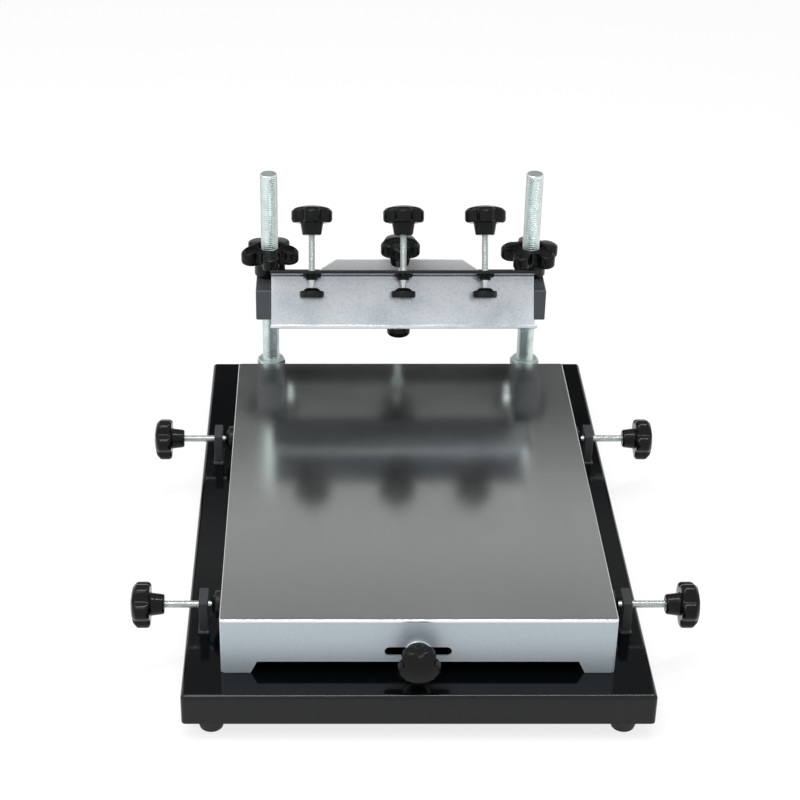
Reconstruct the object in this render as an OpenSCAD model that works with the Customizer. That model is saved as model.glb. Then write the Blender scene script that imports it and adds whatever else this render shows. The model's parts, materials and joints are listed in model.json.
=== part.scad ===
// Manual stencil printer for solder paste: a sheet steel base on rubber feet,
// a registration table moved by hand screws, and a tilting frame holder
// that two star nuts raise and lower on threaded columns.
// Millimetres, +Z up. The origin is on the bench under the middle of the machine.

/* [Base] */
// Width of the base tray
base_w = 361; // [340:1:420]
// Depth of the base tray
base_d = 524; // [514:1:580]
// Height of the base tray's folded walls
base_h = 26; // [24:0.5:50]
// Sheet thickness of the base tray
base_sheet = 2; // [1:0.5:3]
// Outside radius of the bends along the base tray's top edges
base_bend = 3.5; // [3:0.5:6]
// Width of the lips folded in under the front and rear of the tray
base_lip = 36; // [30:1:60]

/* [Feet] */
// Height of a rubber foot
foot_h = 15; // [10:0.5:25]
// Diameter of a foot where it meets the tray
foot_d = 26; // [20:0.5:32]
// Diameter of a foot where it meets the bench
foot_tip_d = 18.5; // [17:0.5:28]
// Distance from a foot's axis to the tray's side
foot_side_inset = 22; // [16:0.5:30]
// Distance from a foot's axis to the tray's front or rear
foot_end_inset = 17; // [16:0.5:24]
// Diameter of the foot screws
foot_screw_d = 5; // [4:0.5:6]

/* [Table] */
// Width of the registration table
table_w = 302; // [250:1:310]
// Depth of the registration table
table_d = 403; // [310:1:410]
// Height of the table's top face above the base tray
table_h = 49.5; // [46:0.5:70]
// Sheet thickness of the table's folded shell
table_sheet = 2; // [1:0.5:3]
// Thickness of the polished top plate
top_plate_t = 2; // [1:0.5:4]
// Distance from the tray's front face to the table's front face
table_setback = 29.5; // [20:0.5:40]
// Length of the slot for the front screw
slot_w = 51.5; // [30:0.5:80]
// Height of the slot for the front screw
slot_h = 8.5; // [7:0.5:12]
// Width of the cut-out between the table's legs
notch_w = 246; // [120:1:250]
// Height of the cut-out between the table's legs
notch_h = 10.5; // [4:0.5:12]
// How far each end of the cut-out flares towards its foot
notch_flare = 5; // [0:0.5:8]

/* [Hand screws] */
// Thread diameter of the hand screws
screw_d = 6; // [5:0.5:7]
// Height of the side and front screws above the base tray
screw_rise = 20; // [19.5:0.5:30]
// Diameter of a star knob over its lobes
knob_d = 38; // [35:0.5:39]
// Radius of a knob lobe's tip
knob_lobe_r = 5.8; // [5:0.1:6.4]
// Radius of a knob at the bottom of its valleys
knob_valley_r = 13.4; // [12:0.1:14]
// Thickness of a knob's head, with its dome
knob_head_h = 15.2; // [13:0.1:20]
// Height of the dome on a knob's head
knob_dome = 2.4; // [1:0.1:4]
// Length of a knob's hub
knob_hub_h = 11; // [8:0.5:16]
// Diameter of a knob's hub at its end
knob_hub_d = 17.4; // [15:0.2:20]
// Size of the front knob as a share of the others
front_knob_share = 0.9; // [0.8:0.05:1]
// Diameter of a swivel pad
pad_d = 22; // [16:0.5:26]
// Thickness of a swivel pad's disc
pad_disc_h = 5; // [4:0.5:8]
// Height of the dome on a swivel pad
pad_dome_h = 4; // [2:0.5:5]
// Diameter of the ball that a swivel pad turns on
ball_d = 6; // [5:0.5:7]

/* [Side brackets] */
// Gap between the table's side and a bracket
bracket_gap = 12; // [11.5:0.5:20]
// Thickness of a bracket
bracket_t = 7; // [4:0.5:10]
// Width of a bracket along the table's side
bracket_w = 22; // [16:0.5:34]
// Height of a bracket
bracket_h = 28; // [26:0.5:40]
// Distance from the table's front face to the front pair of brackets
bracket_front = 61.5; // [40:0.5:120]
// Distance between the front and rear pairs of brackets
bracket_pitch = 254; // [160:1:290]
// Bare length of a side screw between its bracket and its knob
side_bare = 27.5; // [15:0.5:40]

/* [Front screw] */
// Distance from the table's front wall to the fixed nut bracket inside
nut_bracket_setback = 26; // [22:0.5:60]
// Width of the fixed nut bracket
nut_bracket_w = 40; // [24:1:60]
// Thickness of the fixed nut bracket
nut_bracket_t = 4; // [3:0.5:8]
// Length of the fixed nut bracket's foot
nut_bracket_foot = 28; // [18:1:50]
// Thickness of the washer between the front knob and the table
front_washer_t = 1.6; // [1:0.1:3]
// Thickness of the collar behind the table's front wall
front_collar_t = 6; // [4:0.5:10]
// Diameter of the washer between the front knob and the table
front_washer_d = 21; // [16:0.5:24]
// Diameter of the collar behind the table's front wall
front_collar_d = 16; // [14:0.5:20]

/* [Columns] */
// Thread diameter of the columns
rod_d = 16; // [14:0.5:17]
// Height of the columns above the base tray
rod_rise = 216; // [190:1:300]
// Distance from the middle plane to a column
rod_x = 122.5; // [115:0.5:140]
// Distance from the table's rear face to the columns
rod_setback = 58.4; // [57:0.2:70]
// Width across the flats of the column nuts
rod_nut_af = 24; // [22:0.5:28]
// Height of a column nut
rod_nut_h = 13; // [8:0.5:16]
// Height of a column jam nut
rod_jam_h = 8; // [5:0.5:12]
// Thickness of a column washer
rod_washer_t = 3; // [1.5:0.5:5]
// Diameter of a column washer
rod_washer_d = 30; // [28:0.5:36]

/* [Lift blocks] */
// Width of a lift block
block_w = 25; // [24:0.5:34]
// Height of a lift block
block_h = 30.5; // [28:0.5:45]
// Distance from a column's axis to the front of its block
block_front = 37.4; // [35:0.2:50]
// Distance from a column's axis to the rear of its block
block_rear = 15.6; // [13:0.2:17]
// Height of the blocks' underside above the base tray, as drawn
block_rise = 84; // [78:0.5:110]
// Outside diameter of the threaded sleeve that turns in a block
sleeve_d = 20; // [19:0.5:21]
// Depth of the retaining groove round a sleeve
groove_depth = 1; // [0.5:0.1:1.2]
// Width of the retaining groove round a sleeve
groove_w = 5; // [4.5:0.5:6]
// Diameter of the retaining screws
retainer_d = 5; // [4:0.5:6]

/* [Star nuts] */
// Diameter of a star nut over its lobes
star_d = 56; // [52:0.5:59]
// Radius of a star nut lobe's tip
star_lobe_r = 7.8; // [6.8:0.1:8.4]
// Radius of a star nut at the bottom of its valleys
star_valley_r = 15.6; // [15:0.1:17]
// Thickness of a star nut's lobes
star_h = 15; // [12:0.5:20]
// Height of a star nut's hub
star_hub_h = 14; // [10:0.5:20]
// Diameter of a star nut's hub
star_hub_d = 29; // [26:0.5:30]
// Depth of the sleeve's end below the top of a star nut
star_recess = 5; // [1:0.5:8]
// Turn of the left star nut
left_star_turn = -86; // [-180:1:180]
// Turn of the right star nut
right_star_turn = -48; // [-180:1:180]

/* [Crossbar] */
// Sheet thickness of the crossbar
bar_sheet = 2.5; // [2:0.5:4]
// Drop of the crossbar's shelf below the blocks' tops
shelf_drop = 6.5; // [0.5:0.5:8]
// Distance from the columns' plane to the front of the crossbar's shelf
bar_front = 10; // [8:0.5:12]
// Distance from the columns' plane to the crossbar's upright
bar_rear = 19.5; // [19:0.5:22]
// How far the upright hangs below the shelf
bar_drop = 14; // [8:0.5:20]
// How far the middle of the upright stands above the shelf
bar_upstand = 11.5; // [4:0.5:14]
// Length of the upstand along its top
bar_upstand_w = 120; // [60:1:150]
// Extra length of the upstand at each end of its foot
bar_upstand_flare = 16; // [0:1:24]
// Bare length of the rear screw between the shelf and its knob
rear_bare = 16; // [12:0.5:30]
// Height of the rear pad above the base tray, as drawn
rear_pad_rise = 50.5; // [44:0.5:60]

/* [Holder] */
// Angle by which the holder is tilted open, as drawn
tilt = 29; // [0:0.1:40]
// Distance from the columns' axes forward to the pivot
pivot_front = 25.4; // [24:0.2:27]
// Height of the pivot above the blocks' underside
pivot_rise = 15.5; // [12:0.5:20]
// Diameter of the pivot bolts' shanks
pivot_d = 8; // [6:0.5:10]
// Distance from the pivot to the back of the channel's web
web_reach = 48.6; // [46:0.2:60]
// Length of the clamp channel
channel_w = 239; // [226:1:240]
// Height of the clamp channel over its flanges
channel_h = 51; // [46:0.5:60]
// Sheet thickness of the clamp channel
channel_sheet = 2.5; // [2:0.5:4]
// Outside radius of the bends of the clamp channel
channel_bend = 4; // [4:0.5:6]
// Depth of the top flange in front of the web
flange_d = 38; // [34:0.5:50]
// Depth of the bottom lip in front of the web
lip_d = 30; // [20:0.5:40]
// Height of the channel's top above the pivot when closed
channel_rise = 22.3; // [20:0.1:26]
// Thickness of an ear
ear_t = 3; // [2:0.5:4]
// Radius of an ear round its pivot
ear_r = 11; // [9:0.5:12]
// Height of an ear where it meets the web
ear_root_h = 34; // [24:0.5:38]
// Thickness of the friction washers on the pivots
pivot_washer_t = 0.8; // [0.5:0.1:2]

/* [Clamp screws] */
// Place of the left clamp screw along the channel
clamp_left_x = -82.5; // [-95:0.5:-60]
// Place of the right clamp screw along the channel
clamp_right_x = 73.5; // [60:0.5:95]
// Distance from the web's front face to the clamp screws
clamp_reach = 18; // [15:0.5:22]
// Bare length of a clamp screw between the flange and its knob
clamp_bare = 33; // [24:0.5:40]
// Depth of a clamp pad's face below the underside of the flange
clamp_depth = 21; // [20:0.5:30]
// Width across the flats of the hand screws' nuts
nut_af = 10; // [9:0.5:12]
// Height of the hand screws' nuts
nut_h = 5; // [4:0.5:8]

/* [Hidden] */

$fn = 64;
// Overlap that lets one cut run clear of a face
over = 1;
// Radial clearance of a part that turns or slides in another
run_fit = 0.06;
// Radial clearance of a part that is fixed in another
seat_fit = 0.03;
// Radial clearance of a plain hole round a screw
hole_fit = 0.4;
// Radial clearance of the holes round a column
rod_fit = 0.5;
// Gap between a pad and the table's side
pad_gap = 0.1;

black_paint = "#17181a";
black_plastic = "#1b1c1e";
rubber_black = "#202123";
silver_paint = "#b9c0c6";
polished_steel = "#9aa0a4";
zinc = "#c3c9c8";

lobes = 5;
lobe_step = 360 / lobes;
// Turn of a knob with one lobe to the front
lobe_front = -90;
// Angle between a hexagon's flat and its corner
hex_half = 30;

// Heights above the bench
z_deck = foot_h + base_h;
z_table = z_deck + table_h;
z_screw = z_deck + screw_rise;
z_block = z_deck + block_rise;
z_block_top = z_block + block_h;
z_pivot = z_block + pivot_rise;
z_shelf = z_block_top - shelf_drop;
z_rear_pad = z_deck + rear_pad_rise;

// Places from front to rear, with the front knob's dome and the tray's rear face level about the origin
knob_reach = front_washer_t + front_knob_share * (knob_hub_h + knob_head_h);
knob_overhang = max(0, knob_reach - table_setback);
y_front = (knob_overhang - base_d) / 2;
y_rear = y_front + base_d;
y_table = y_front + table_setback;
y_table_rear = y_table + table_d;
y_rod = y_table_rear + rod_setback;
y_pivot = y_rod - pivot_front;
y_nut_bracket = y_table + table_sheet + nut_bracket_setback;
bracket_y = [y_table + bracket_front, y_table + bracket_front + bracket_pitch];

// Side brackets and screws
x_bracket = table_w / 2 + bracket_gap;
x_block_in = rod_x - block_w / 2;
x_ear = x_block_in - pivot_washer_t;

// Swivel pads and screw lengths, from a pad's face to the end of its knob's hub
pad_h = pad_disc_h + pad_dome_h;
ball_z = pad_h / 2;
neck_d = 4.2;
taper_h = 4;
stud_in = 9;
side_len = bracket_gap + bracket_t + side_bare - pad_gap;
clamp_len = clamp_bare + channel_sheet + clamp_depth;
rear_len = z_shelf + rear_bare - z_rear_pad;
knob_hub_taper = 1.6;
knob_edge = 3;
pad_edge = 1.2;
pad_hub_d = 13;

// Fasteners, in their usual proportions to the thread
hex_share = 1.6;
nut_share = 0.8;
pan_share = 1.9;
head_share = 0.6;
rod_nut_d = rod_nut_af / cos(hex_half);
nut_d = nut_af / cos(hex_half);
foot_nut_d = hex_share * foot_screw_d / cos(hex_half);
foot_nut_h = nut_share * foot_screw_d;
foot_head_d = pan_share * foot_screw_d;
foot_head_h = head_share * foot_screw_d;
foot_recess = foot_h / 2;
rod_hole_d = rod_d + 2 * rod_fit;
rod_tail = 2;
// Turn of a jam nut against the nut below it
jam_turn = 18;
// How much thinner a retaining screw's tip is than its thread
tip_step = 1.5;
block_edge = 1.5;
star_edge = 3;

// Clamp channel, measured from the pivot in the closed holder
y_web = -web_reach - channel_sheet;
y_clamp = y_web - clamp_reach;
z_flange = channel_rise - channel_sheet;
z_lip = channel_rise - channel_h;
clamp_x = [clamp_left_x, 0, clamp_right_x];
pivot_head_d = hex_share * pivot_d / cos(hex_half);
pivot_head_h = head_share * pivot_d;
pivot_thread = 15;
// Lean of an ear's edges from its round end to its root
ear_lean = 15;

// Radius of the valley arc that runs smoothly into the lobes' arcs
function valley_r(lobe_at, lobe_r, valley) =
  let (c = cos(lobe_step / 2))
  (pow(lobe_at, 2) + pow(valley, 2) - 2 * lobe_at * valley * c - pow(lobe_r, 2))
  / (2 * (lobe_r - valley + lobe_at * c));

// Point at a distance and an angle from the middle
function polar(r, a) = [r * cos(a), r * sin(a)];

// Star outline of lobes and valleys that meet on the lines between their centres
module star_outline(d, lobe_r, valley) {
  lobe_at = d / 2 - lobe_r;
  cut_r = valley_r(lobe_at, lobe_r, valley);
  cut_at = valley + cut_r;
  difference() {
    union() {
      polygon([
        for (i = [0 : 2 * lobes - 1])
          polar(i % 2 == 0 ? lobe_at : cut_at, i * lobe_step / 2)
      ]);
      for (i = [0 : lobes - 1])
        translate(polar(lobe_at, i * lobe_step)) circle(r = lobe_r);
    }
    for (i = [0 : lobes - 1])
      translate(polar(cut_at, (i + 0.5) * lobe_step)) circle(r = cut_r);
  }
}

// Rectangle with round corners, centred
module round_rect(w, d, r) {
  square([w - 2 * r, d], center = true);
  square([w, d - 2 * r], center = true);
  for (x = [-1, 1], y = [-1, 1])
    translate([x * (w / 2 - r), y * (d / 2 - r)]) circle(r = r);
}

// Half outline of a turned disc with a round outer edge at the top and at the foot
module turned_edge(r, h, edge) {
  square([r - edge, h]);
  translate([0, edge]) square([r, h - 2 * edge]);
  translate([r - edge, edge]) circle(r = edge);
  translate([r - edge, h - edge]) circle(r = edge);
}

// Round bar with a hole along it
module tube(d, hole, h) {
  difference() {
    cylinder(d = d, h = h);
    translate([0, 0, -over]) cylinder(d = hole, h = h + 2 * over);
  }
}

// Hexagon nut with its hole
module hex_nut(d, hole, h) {
  difference() {
    cylinder(d = d, h = h, $fn = 6);
    translate([0, 0, -over]) cylinder(d = hole, h = h + 2 * over);
  }
}

// Low dome on a round foot: the foot is on z = 0 and sinks a little below it
module dome(d, h, sink) {
  r = (pow(d / 2, 2) + pow(h, 2)) / (2 * h);
  intersection() {
    translate([0, 0, h - r]) sphere(r = r);
    translate([0, 0, -sink]) cylinder(d = d, h = h + sink + over);
  }
}

// Star knob on its stud: z = 0 is the end of the hub and the dome points to +Z
module star_knob(share = 1) {
  hub_d = share * knob_hub_d;
  hub_h = share * knob_hub_h;
  rim_h = share * (knob_head_h - knob_dome);
  color(black_plastic) difference() {
    union() {
      cylinder(d1 = hub_d, d2 = hub_d + knob_hub_taper, h = hub_h);
      translate([0, 0, hub_h]) intersection() {
        linear_extrude(rim_h)
          star_outline(share * knob_d, share * knob_lobe_r, share * knob_valley_r);
        rotate_extrude() turned_edge(share * knob_d / 2, rim_h, knob_edge);
      }
      translate([0, 0, hub_h + rim_h])
        dome(2 * share * knob_valley_r - over, share * knob_dome, share * knob_dome);
    }
    translate([0, 0, -over]) cylinder(d = screw_d + 2 * seat_fit, h = stud_in + over);
  }
}

// Threaded stud with a ball end: z = 0 is the pad's face and the knob's hub ends at z = len
module ball_stud(len) {
  color(zinc) {
    translate([0, 0, ball_z]) sphere(d = ball_d);
    translate([0, 0, ball_z]) cylinder(d = neck_d, h = pad_h - ball_z + over);
    translate([0, 0, pad_h]) cylinder(d1 = neck_d, d2 = screw_d, h = taper_h);
    translate([0, 0, pad_h + taper_h])
      cylinder(d = screw_d, h = len + stud_in - pad_h - taper_h - seat_fit);
  }
}

// Swivel pad with its ball socket: the bearing face is at z = 0
module swivel_pad() {
  color(black_plastic) difference() {
    union() {
      rotate_extrude() turned_edge(pad_d / 2, pad_disc_h, pad_edge);
      translate([0, 0, pad_disc_h]) dome(pad_hub_d, pad_dome_h, pad_dome_h / 2);
    }
    translate([0, 0, ball_z]) sphere(d = ball_d + 2 * run_fit);
    translate([0, 0, ball_z]) cylinder(d = neck_d + 2 * hole_fit, h = pad_h);
  }
}

// Puts a screw set on a side bracket, with +Z running outwards from the table's side and a lobe down
module on_side(side, row) {
  translate([side * (table_w / 2 + pad_gap), bracket_y[row], z_screw])
    rotate([0, side * 90, 0]) rotate(side > 0 ? 0 : 180) children();
}

// Turns what is drawn from the pivot in the closed holder to its tilted place
module in_holder() {
  translate([0, y_pivot, z_pivot]) rotate([-tilt, 0, 0]) children();
}

// Puts a clamp screw set in the holder, with its pad's face at z = 0
module on_clamp(i) {
  in_holder() translate([clamp_x[i], y_clamp, z_flange - clamp_depth]) rotate(lobe_front) children();
}

// Puts the rear screw set in the crossbar, with its pad's face at z = 0
module on_rear() {
  translate([0, y_rod, z_rear_pad]) rotate(lobe_front) children();
}

// Puts a piece on the axis of a column, at the height of the blocks' underside
module on_block(side) {
  translate([side * rod_x, y_rod, z_block]) children();
}

// Outline of the tray's wall, seen along one side
module tray_outline(w, h, r) {
  translate([-w / 2, 0]) square([w, h - r]);
  translate([r - w / 2, 0]) square([w - 2 * r, h]);
  for (s = [-1, 1]) translate([s * (w / 2 - r), h - r]) circle(r = r);
}

// Block with its top edges bent round, on the middle of its underside
module bent_block(w, d, h, r) {
  intersection() {
    translate([0, d / 2, 0]) rotate([90, 0, 0]) linear_extrude(d) tray_outline(w, h, r);
    translate([-w / 2, 0, 0])
      rotate([90, 0, 90]) linear_extrude(w) tray_outline(d, h, r);
  }
}

module foot_places() {
  for (x = [-1, 1], y = [y_front + foot_end_inset, y_rear - foot_end_inset])
    translate([x * (base_w / 2 - foot_side_inset), y, 0]) children();
}

module column_places() {
  for (side = [-1, 1]) translate([side * rod_x, y_rod, 0]) children();
}

// Folded tray, open below, with lips that carry the feet
module base_tray() {
  inner_w = base_w - 2 * base_sheet;
  inner_d = base_d - 2 * base_sheet;
  color(black_paint) difference() {
    translate([0, (y_front + y_rear) / 2, foot_h])
      bent_block(base_w, base_d, base_h, base_bend);
    translate([0, (y_front + y_rear) / 2, foot_h + base_sheet])
      bent_block(inner_w, inner_d, base_h - 2 * base_sheet, base_bend - base_sheet);
    translate([-inner_w / 2, y_front + base_lip, foot_h - over])
      cube([inner_w, base_d - 2 * base_lip, base_sheet + 2 * over]);
    foot_places() translate([0, 0, foot_h - over])
      cylinder(d = foot_screw_d + hole_fit, h = base_sheet + 2 * over);
    column_places() translate([0, 0, z_deck - base_sheet - over])
      cylinder(d = rod_hole_d, h = base_sheet + 2 * over);
  }
}

module rubber_feet() {
  color(rubber_black) foot_places() difference() {
    cylinder(d1 = foot_tip_d, d2 = foot_d, h = foot_h);
    translate([0, 0, -over]) cylinder(d = foot_head_d + 2 * hole_fit, h = foot_recess + over);
    cylinder(d = foot_screw_d + 2 * seat_fit, h = foot_h + over);
  }
}

module foot_screws() {
  shank = foot_h - foot_recess + base_sheet + foot_nut_h + over;
  color(zinc) foot_places() {
    translate([0, 0, foot_recess - foot_head_h]) cylinder(d = foot_head_d, h = foot_head_h);
    translate([0, 0, foot_recess]) cylinder(d = foot_screw_d, h = shank);
  }
}

module foot_nuts() {
  color(zinc) foot_places() translate([0, 0, foot_h + base_sheet])
    hex_nut(foot_nut_d, foot_screw_d + 2 * seat_fit, foot_nut_h);
}

// Plates welded to the tray beside the table, each tapped for a side screw
module side_brackets() {
  color(black_paint) for (side = [-1, 1], y = bracket_y)
    difference() {
      translate([side * (x_bracket + bracket_t / 2) - bracket_t / 2, y - bracket_w / 2, z_deck])
        cube([bracket_t, bracket_w, bracket_h]);
      translate([side * (x_bracket - over), y, z_screw]) rotate([0, side * 90, 0])
        cylinder(d = screw_d + 2 * run_fit, h = bracket_t + 2 * over);
    }
}

// Angle welded to the tray under the table, which the front screw works against
module front_nut_bracket() {
  rise = screw_rise + nut_af;
  color(black_paint) difference() {
    translate([-nut_bracket_w / 2, y_nut_bracket, z_deck]) union() {
      cube([nut_bracket_w, nut_bracket_t, rise]);
      cube([nut_bracket_w, nut_bracket_foot, nut_bracket_t]);
    }
    translate([0, y_nut_bracket - over, z_screw]) rotate([-90, 0, 0])
      cylinder(d = screw_d + 2 * hole_fit, h = nut_bracket_t + 2 * over);
  }
}

module front_weld_nut() {
  color(zinc) translate([0, y_nut_bracket + nut_bracket_t, z_screw]) rotate([-90, 0, 0])
    hex_nut(nut_d, screw_d + 2 * run_fit, nut_h);
}

module column(side) {
  tail = base_sheet + rod_washer_t + rod_nut_h + rod_tail;
  color(zinc) translate([side * rod_x, y_rod, z_deck - tail])
    cylinder(d = rod_d, h = rod_rise + tail);
}

module left_column() { column(-1); }

module right_column() { column(1); }

module column_washers() {
  color(zinc) column_places() {
    translate([0, 0, z_deck]) tube(rod_washer_d, rod_hole_d, rod_washer_t);
    translate([0, 0, z_deck - base_sheet - rod_washer_t])
      tube(rod_washer_d, rod_hole_d, rod_washer_t);
  }
}

module column_nuts() {
  color(zinc) column_places() translate([0, 0, z_deck + rod_washer_t])
    hex_nut(rod_nut_d, rod_d + 2 * seat_fit, rod_nut_h);
}

module column_jam_nuts() {
  color(zinc) column_places() translate([0, 0, z_deck + rod_washer_t + rod_nut_h])
    rotate(jam_turn) hex_nut(rod_nut_d, rod_d + 2 * seat_fit, rod_jam_h);
}

module column_under_nuts() {
  color(zinc) column_places()
    translate([0, 0, z_deck - base_sheet - rod_washer_t - rod_nut_h])
    hex_nut(rod_nut_d, rod_d + 2 * seat_fit, rod_nut_h);
}

// Outline of the cut-out between the table's legs, with its middle on the foot line
module notch_outline() {
  polygon([
    [-notch_w / 2 - notch_flare, -over],
    [notch_w / 2 + notch_flare, -over],
    [notch_w / 2, notch_h],
    [-notch_w / 2, notch_h]
  ]);
}

// Folded shell of the table, open below, with legs at its corners and a slot in front
module table_shell() {
  shell_h = table_h - top_plate_t;
  inner_w = table_w - 2 * table_sheet;
  inner_d = table_d - 2 * table_sheet;
  color(silver_paint) difference() {
    translate([-table_w / 2, y_table, z_deck]) cube([table_w, table_d, shell_h]);
    translate([-inner_w / 2, y_table + table_sheet, z_deck - over])
      cube([inner_w, inner_d, shell_h - table_sheet + over]);
    translate([0, y_table_rear + over, z_deck]) rotate([90, 0, 0])
      linear_extrude(table_d + 2 * over) notch_outline();
    translate([0, y_table - over, z_screw]) rotate([-90, 0, 0])
      linear_extrude(table_sheet + 2 * over) round_rect(slot_w, slot_h, slot_h / 2 - seat_fit);
  }
}

module table_top_plate() {
  color(polished_steel) translate([-table_w / 2, y_table, z_table - top_plate_t])
    cube([table_w, table_d, top_plate_t]);
}

module front_washer() {
  color(zinc) translate([0, y_table - front_washer_t, z_screw]) rotate([-90, 0, 0])
    tube(front_washer_d, screw_d + 2 * run_fit, front_washer_t);
}

module front_collar() {
  color(zinc) translate([0, y_table + table_sheet, z_screw]) rotate([-90, 0, 0])
    tube(front_collar_d, screw_d + 2 * run_fit, front_collar_t);
}

// Plain stud from inside the front knob to behind the fixed nut
module front_screw() {
  reach = y_nut_bracket + nut_bracket_t + 2 * nut_h + 2 * screw_d - y_table + front_washer_t;
  color(zinc) translate([0, y_table - front_washer_t - stud_in + seat_fit, z_screw])
    rotate([-90, 0, 0]) cylinder(d = screw_d, h = reach + stud_in);
}

module front_knob() {
  translate([0, y_table - front_washer_t, z_screw]) rotate([90, 0, 0])
    rotate(lobe_front) star_knob(front_knob_share);
}

module left_front_pad() { on_side(-1, 0) swivel_pad(); }

module left_front_screw() { on_side(-1, 0) ball_stud(side_len); }

module left_front_knob() { on_side(-1, 0) translate([0, 0, side_len]) star_knob(); }

module left_rear_pad() { on_side(-1, 1) swivel_pad(); }

module left_rear_screw() { on_side(-1, 1) ball_stud(side_len); }

module left_rear_knob() { on_side(-1, 1) translate([0, 0, side_len]) star_knob(); }

module right_front_pad() { on_side(1, 0) swivel_pad(); }

module right_front_screw() { on_side(1, 0) ball_stud(side_len); }

module right_front_knob() { on_side(1, 0) translate([0, 0, side_len]) star_knob(); }

module right_rear_pad() { on_side(1, 1) swivel_pad(); }

module right_rear_screw() { on_side(1, 1) ball_stud(side_len); }

module right_rear_knob() { on_side(1, 1) translate([0, 0, side_len]) star_knob(); }

// Lift block with a bore for the sleeve, a tapped hole for its pivot and one for its retaining screw
module lift_block(side) {
  depth = block_front + block_rear;
  color(black_paint) on_block(side) difference() {
    translate([0, (block_rear - block_front) / 2, 0])
      linear_extrude(block_h) round_rect(block_w, depth, block_edge);
    translate([0, 0, -over]) cylinder(d = sleeve_d + 2 * run_fit, h = block_h + 2 * over);
    translate([-side * (block_w / 2 + over), -pivot_front, pivot_rise]) rotate([0, side * 90, 0])
      cylinder(d = pivot_d + 2 * seat_fit, h = pivot_thread + 2 * over);
    translate([0, 0, block_h / 2]) rotate([0, side * 90, 0])
      cylinder(d = retainer_d + 2 * seat_fit, h = block_w / 2 + over);
  }
}

module left_block() { lift_block(-1); }

module right_block() { lift_block(1); }

// Headless screws whose tips keep the sleeves' grooves in the blocks
module retaining_screws() {
  tip_at = sleeve_d / 2 - groove_depth / 2;
  tip_d = retainer_d - tip_step;
  shank_at = sleeve_d / 2 + over / 2;
  color(zinc) for (side = [-1, 1]) on_block(side) translate([0, 0, block_h / 2])
    rotate([0, side * 90, 0]) {
      translate([0, 0, tip_at]) cylinder(d = tip_d, h = shank_at - tip_at + over / 2);
      translate([0, 0, shank_at]) cylinder(d = retainer_d, h = block_w / 2 - shank_at - over / 2);
    }
}

// Outline of the crossbar's upright, seen from the rear, with z = 0 on top of the shelf
module upright_outline() {
  half = x_block_in;
  top = bar_upstand_w / 2;
  polygon([
    [-half, -bar_drop],
    [half, -bar_drop],
    [half, 0],
    [top + bar_upstand_flare, 0],
    [top, bar_upstand],
    [-top, bar_upstand],
    [-top - bar_upstand_flare, 0],
    [-half, 0]
  ]);
}

// Folded bar welded between the blocks, which carries the rear screw
module crossbar() {
  color(silver_paint) difference() {
    union() {
      translate([-x_block_in, y_rod - bar_front, z_shelf - bar_sheet])
        cube([2 * x_block_in, bar_front + bar_rear, bar_sheet]);
      translate([0, y_rod + bar_rear + bar_sheet, z_shelf]) rotate([90, 0, 0])
        linear_extrude(bar_sheet) upright_outline();
    }
    on_rear() cylinder(d = screw_d + 2 * hole_fit, h = z_shelf - z_rear_pad + over);
  }
}

module crossbar_weld_nut() {
  color(zinc) translate([0, y_rod, z_shelf - bar_sheet - nut_h])
    hex_nut(nut_d, screw_d + 2 * run_fit, nut_h);
}

// Shouldered bolts that screw into the blocks from the inside
module pivot_bolts() {
  shank = ear_t + pivot_washer_t + pivot_thread;
  color(zinc) for (side = [-1, 1])
    translate([side * (x_ear - ear_t), y_pivot, z_pivot]) rotate([0, side * 90, 0]) {
      cylinder(d = pivot_d, h = shank);
      translate([0, 0, -pivot_head_h]) cylinder(d = pivot_head_d, h = pivot_head_h, $fn = 6);
    }
}

module pivot_washers() {
  color(zinc) for (side = [-1, 1])
    translate([side * x_ear, y_pivot, z_pivot]) rotate([0, side * 90, 0])
      tube(2 * (ear_r - over), pivot_d + 2 * run_fit, pivot_washer_t);
}

// Moulded star that turns a threaded sleeve on its column
module star_nut(side, turn) {
  color(black_plastic) on_block(side) translate([0, 0, block_h]) difference() {
    union() {
      cylinder(d = star_hub_d, h = star_hub_h + over);
      translate([0, 0, star_hub_h]) intersection() {
        rotate(turn) linear_extrude(star_h) star_outline(star_d, star_lobe_r, star_valley_r);
        rotate_extrude() turned_edge(star_d / 2, star_h, star_edge);
      }
    }
    translate([0, 0, -over])
      cylinder(d = sleeve_d + 2 * seat_fit, h = star_hub_h + star_h + 2 * over);
  }
}

// Steel sleeve moulded into a star nut, with a groove that holds it down in its block
module sleeve(side) {
  length = block_h + star_hub_h + star_h - star_recess;
  color(zinc) on_block(side) difference() {
    cylinder(d = sleeve_d, h = length);
    translate([0, 0, -over]) cylinder(d = rod_d + 2 * run_fit, h = length + 2 * over);
    translate([0, 0, (block_h - groove_w) / 2])
      tube(sleeve_d + 2 * over, sleeve_d - 2 * groove_depth, groove_w);
  }
}

module left_star_nut() { star_nut(-1, left_star_turn); }

module left_sleeve() { sleeve(-1); }

module right_star_nut() { star_nut(1, right_star_turn); }

module right_sleeve() { sleeve(1); }

// Section of the channel's outside, or of its inside when the sheet is taken off
module channel_section(inset) {
  r = channel_bend - inset;
  deep = max(flange_d, lip_d) + over;
  low = z_lip + inset;
  high = channel_rise - inset;
  back = -web_reach - inset;
  translate([y_web - deep, low]) square([back - r - y_web + deep, high - low]);
  translate([y_web - deep, low + r]) square([back - y_web + deep, high - low - 2 * r]);
  for (z = [low + r, high - r]) translate([back - r, z]) circle(r = r);
}

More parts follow.
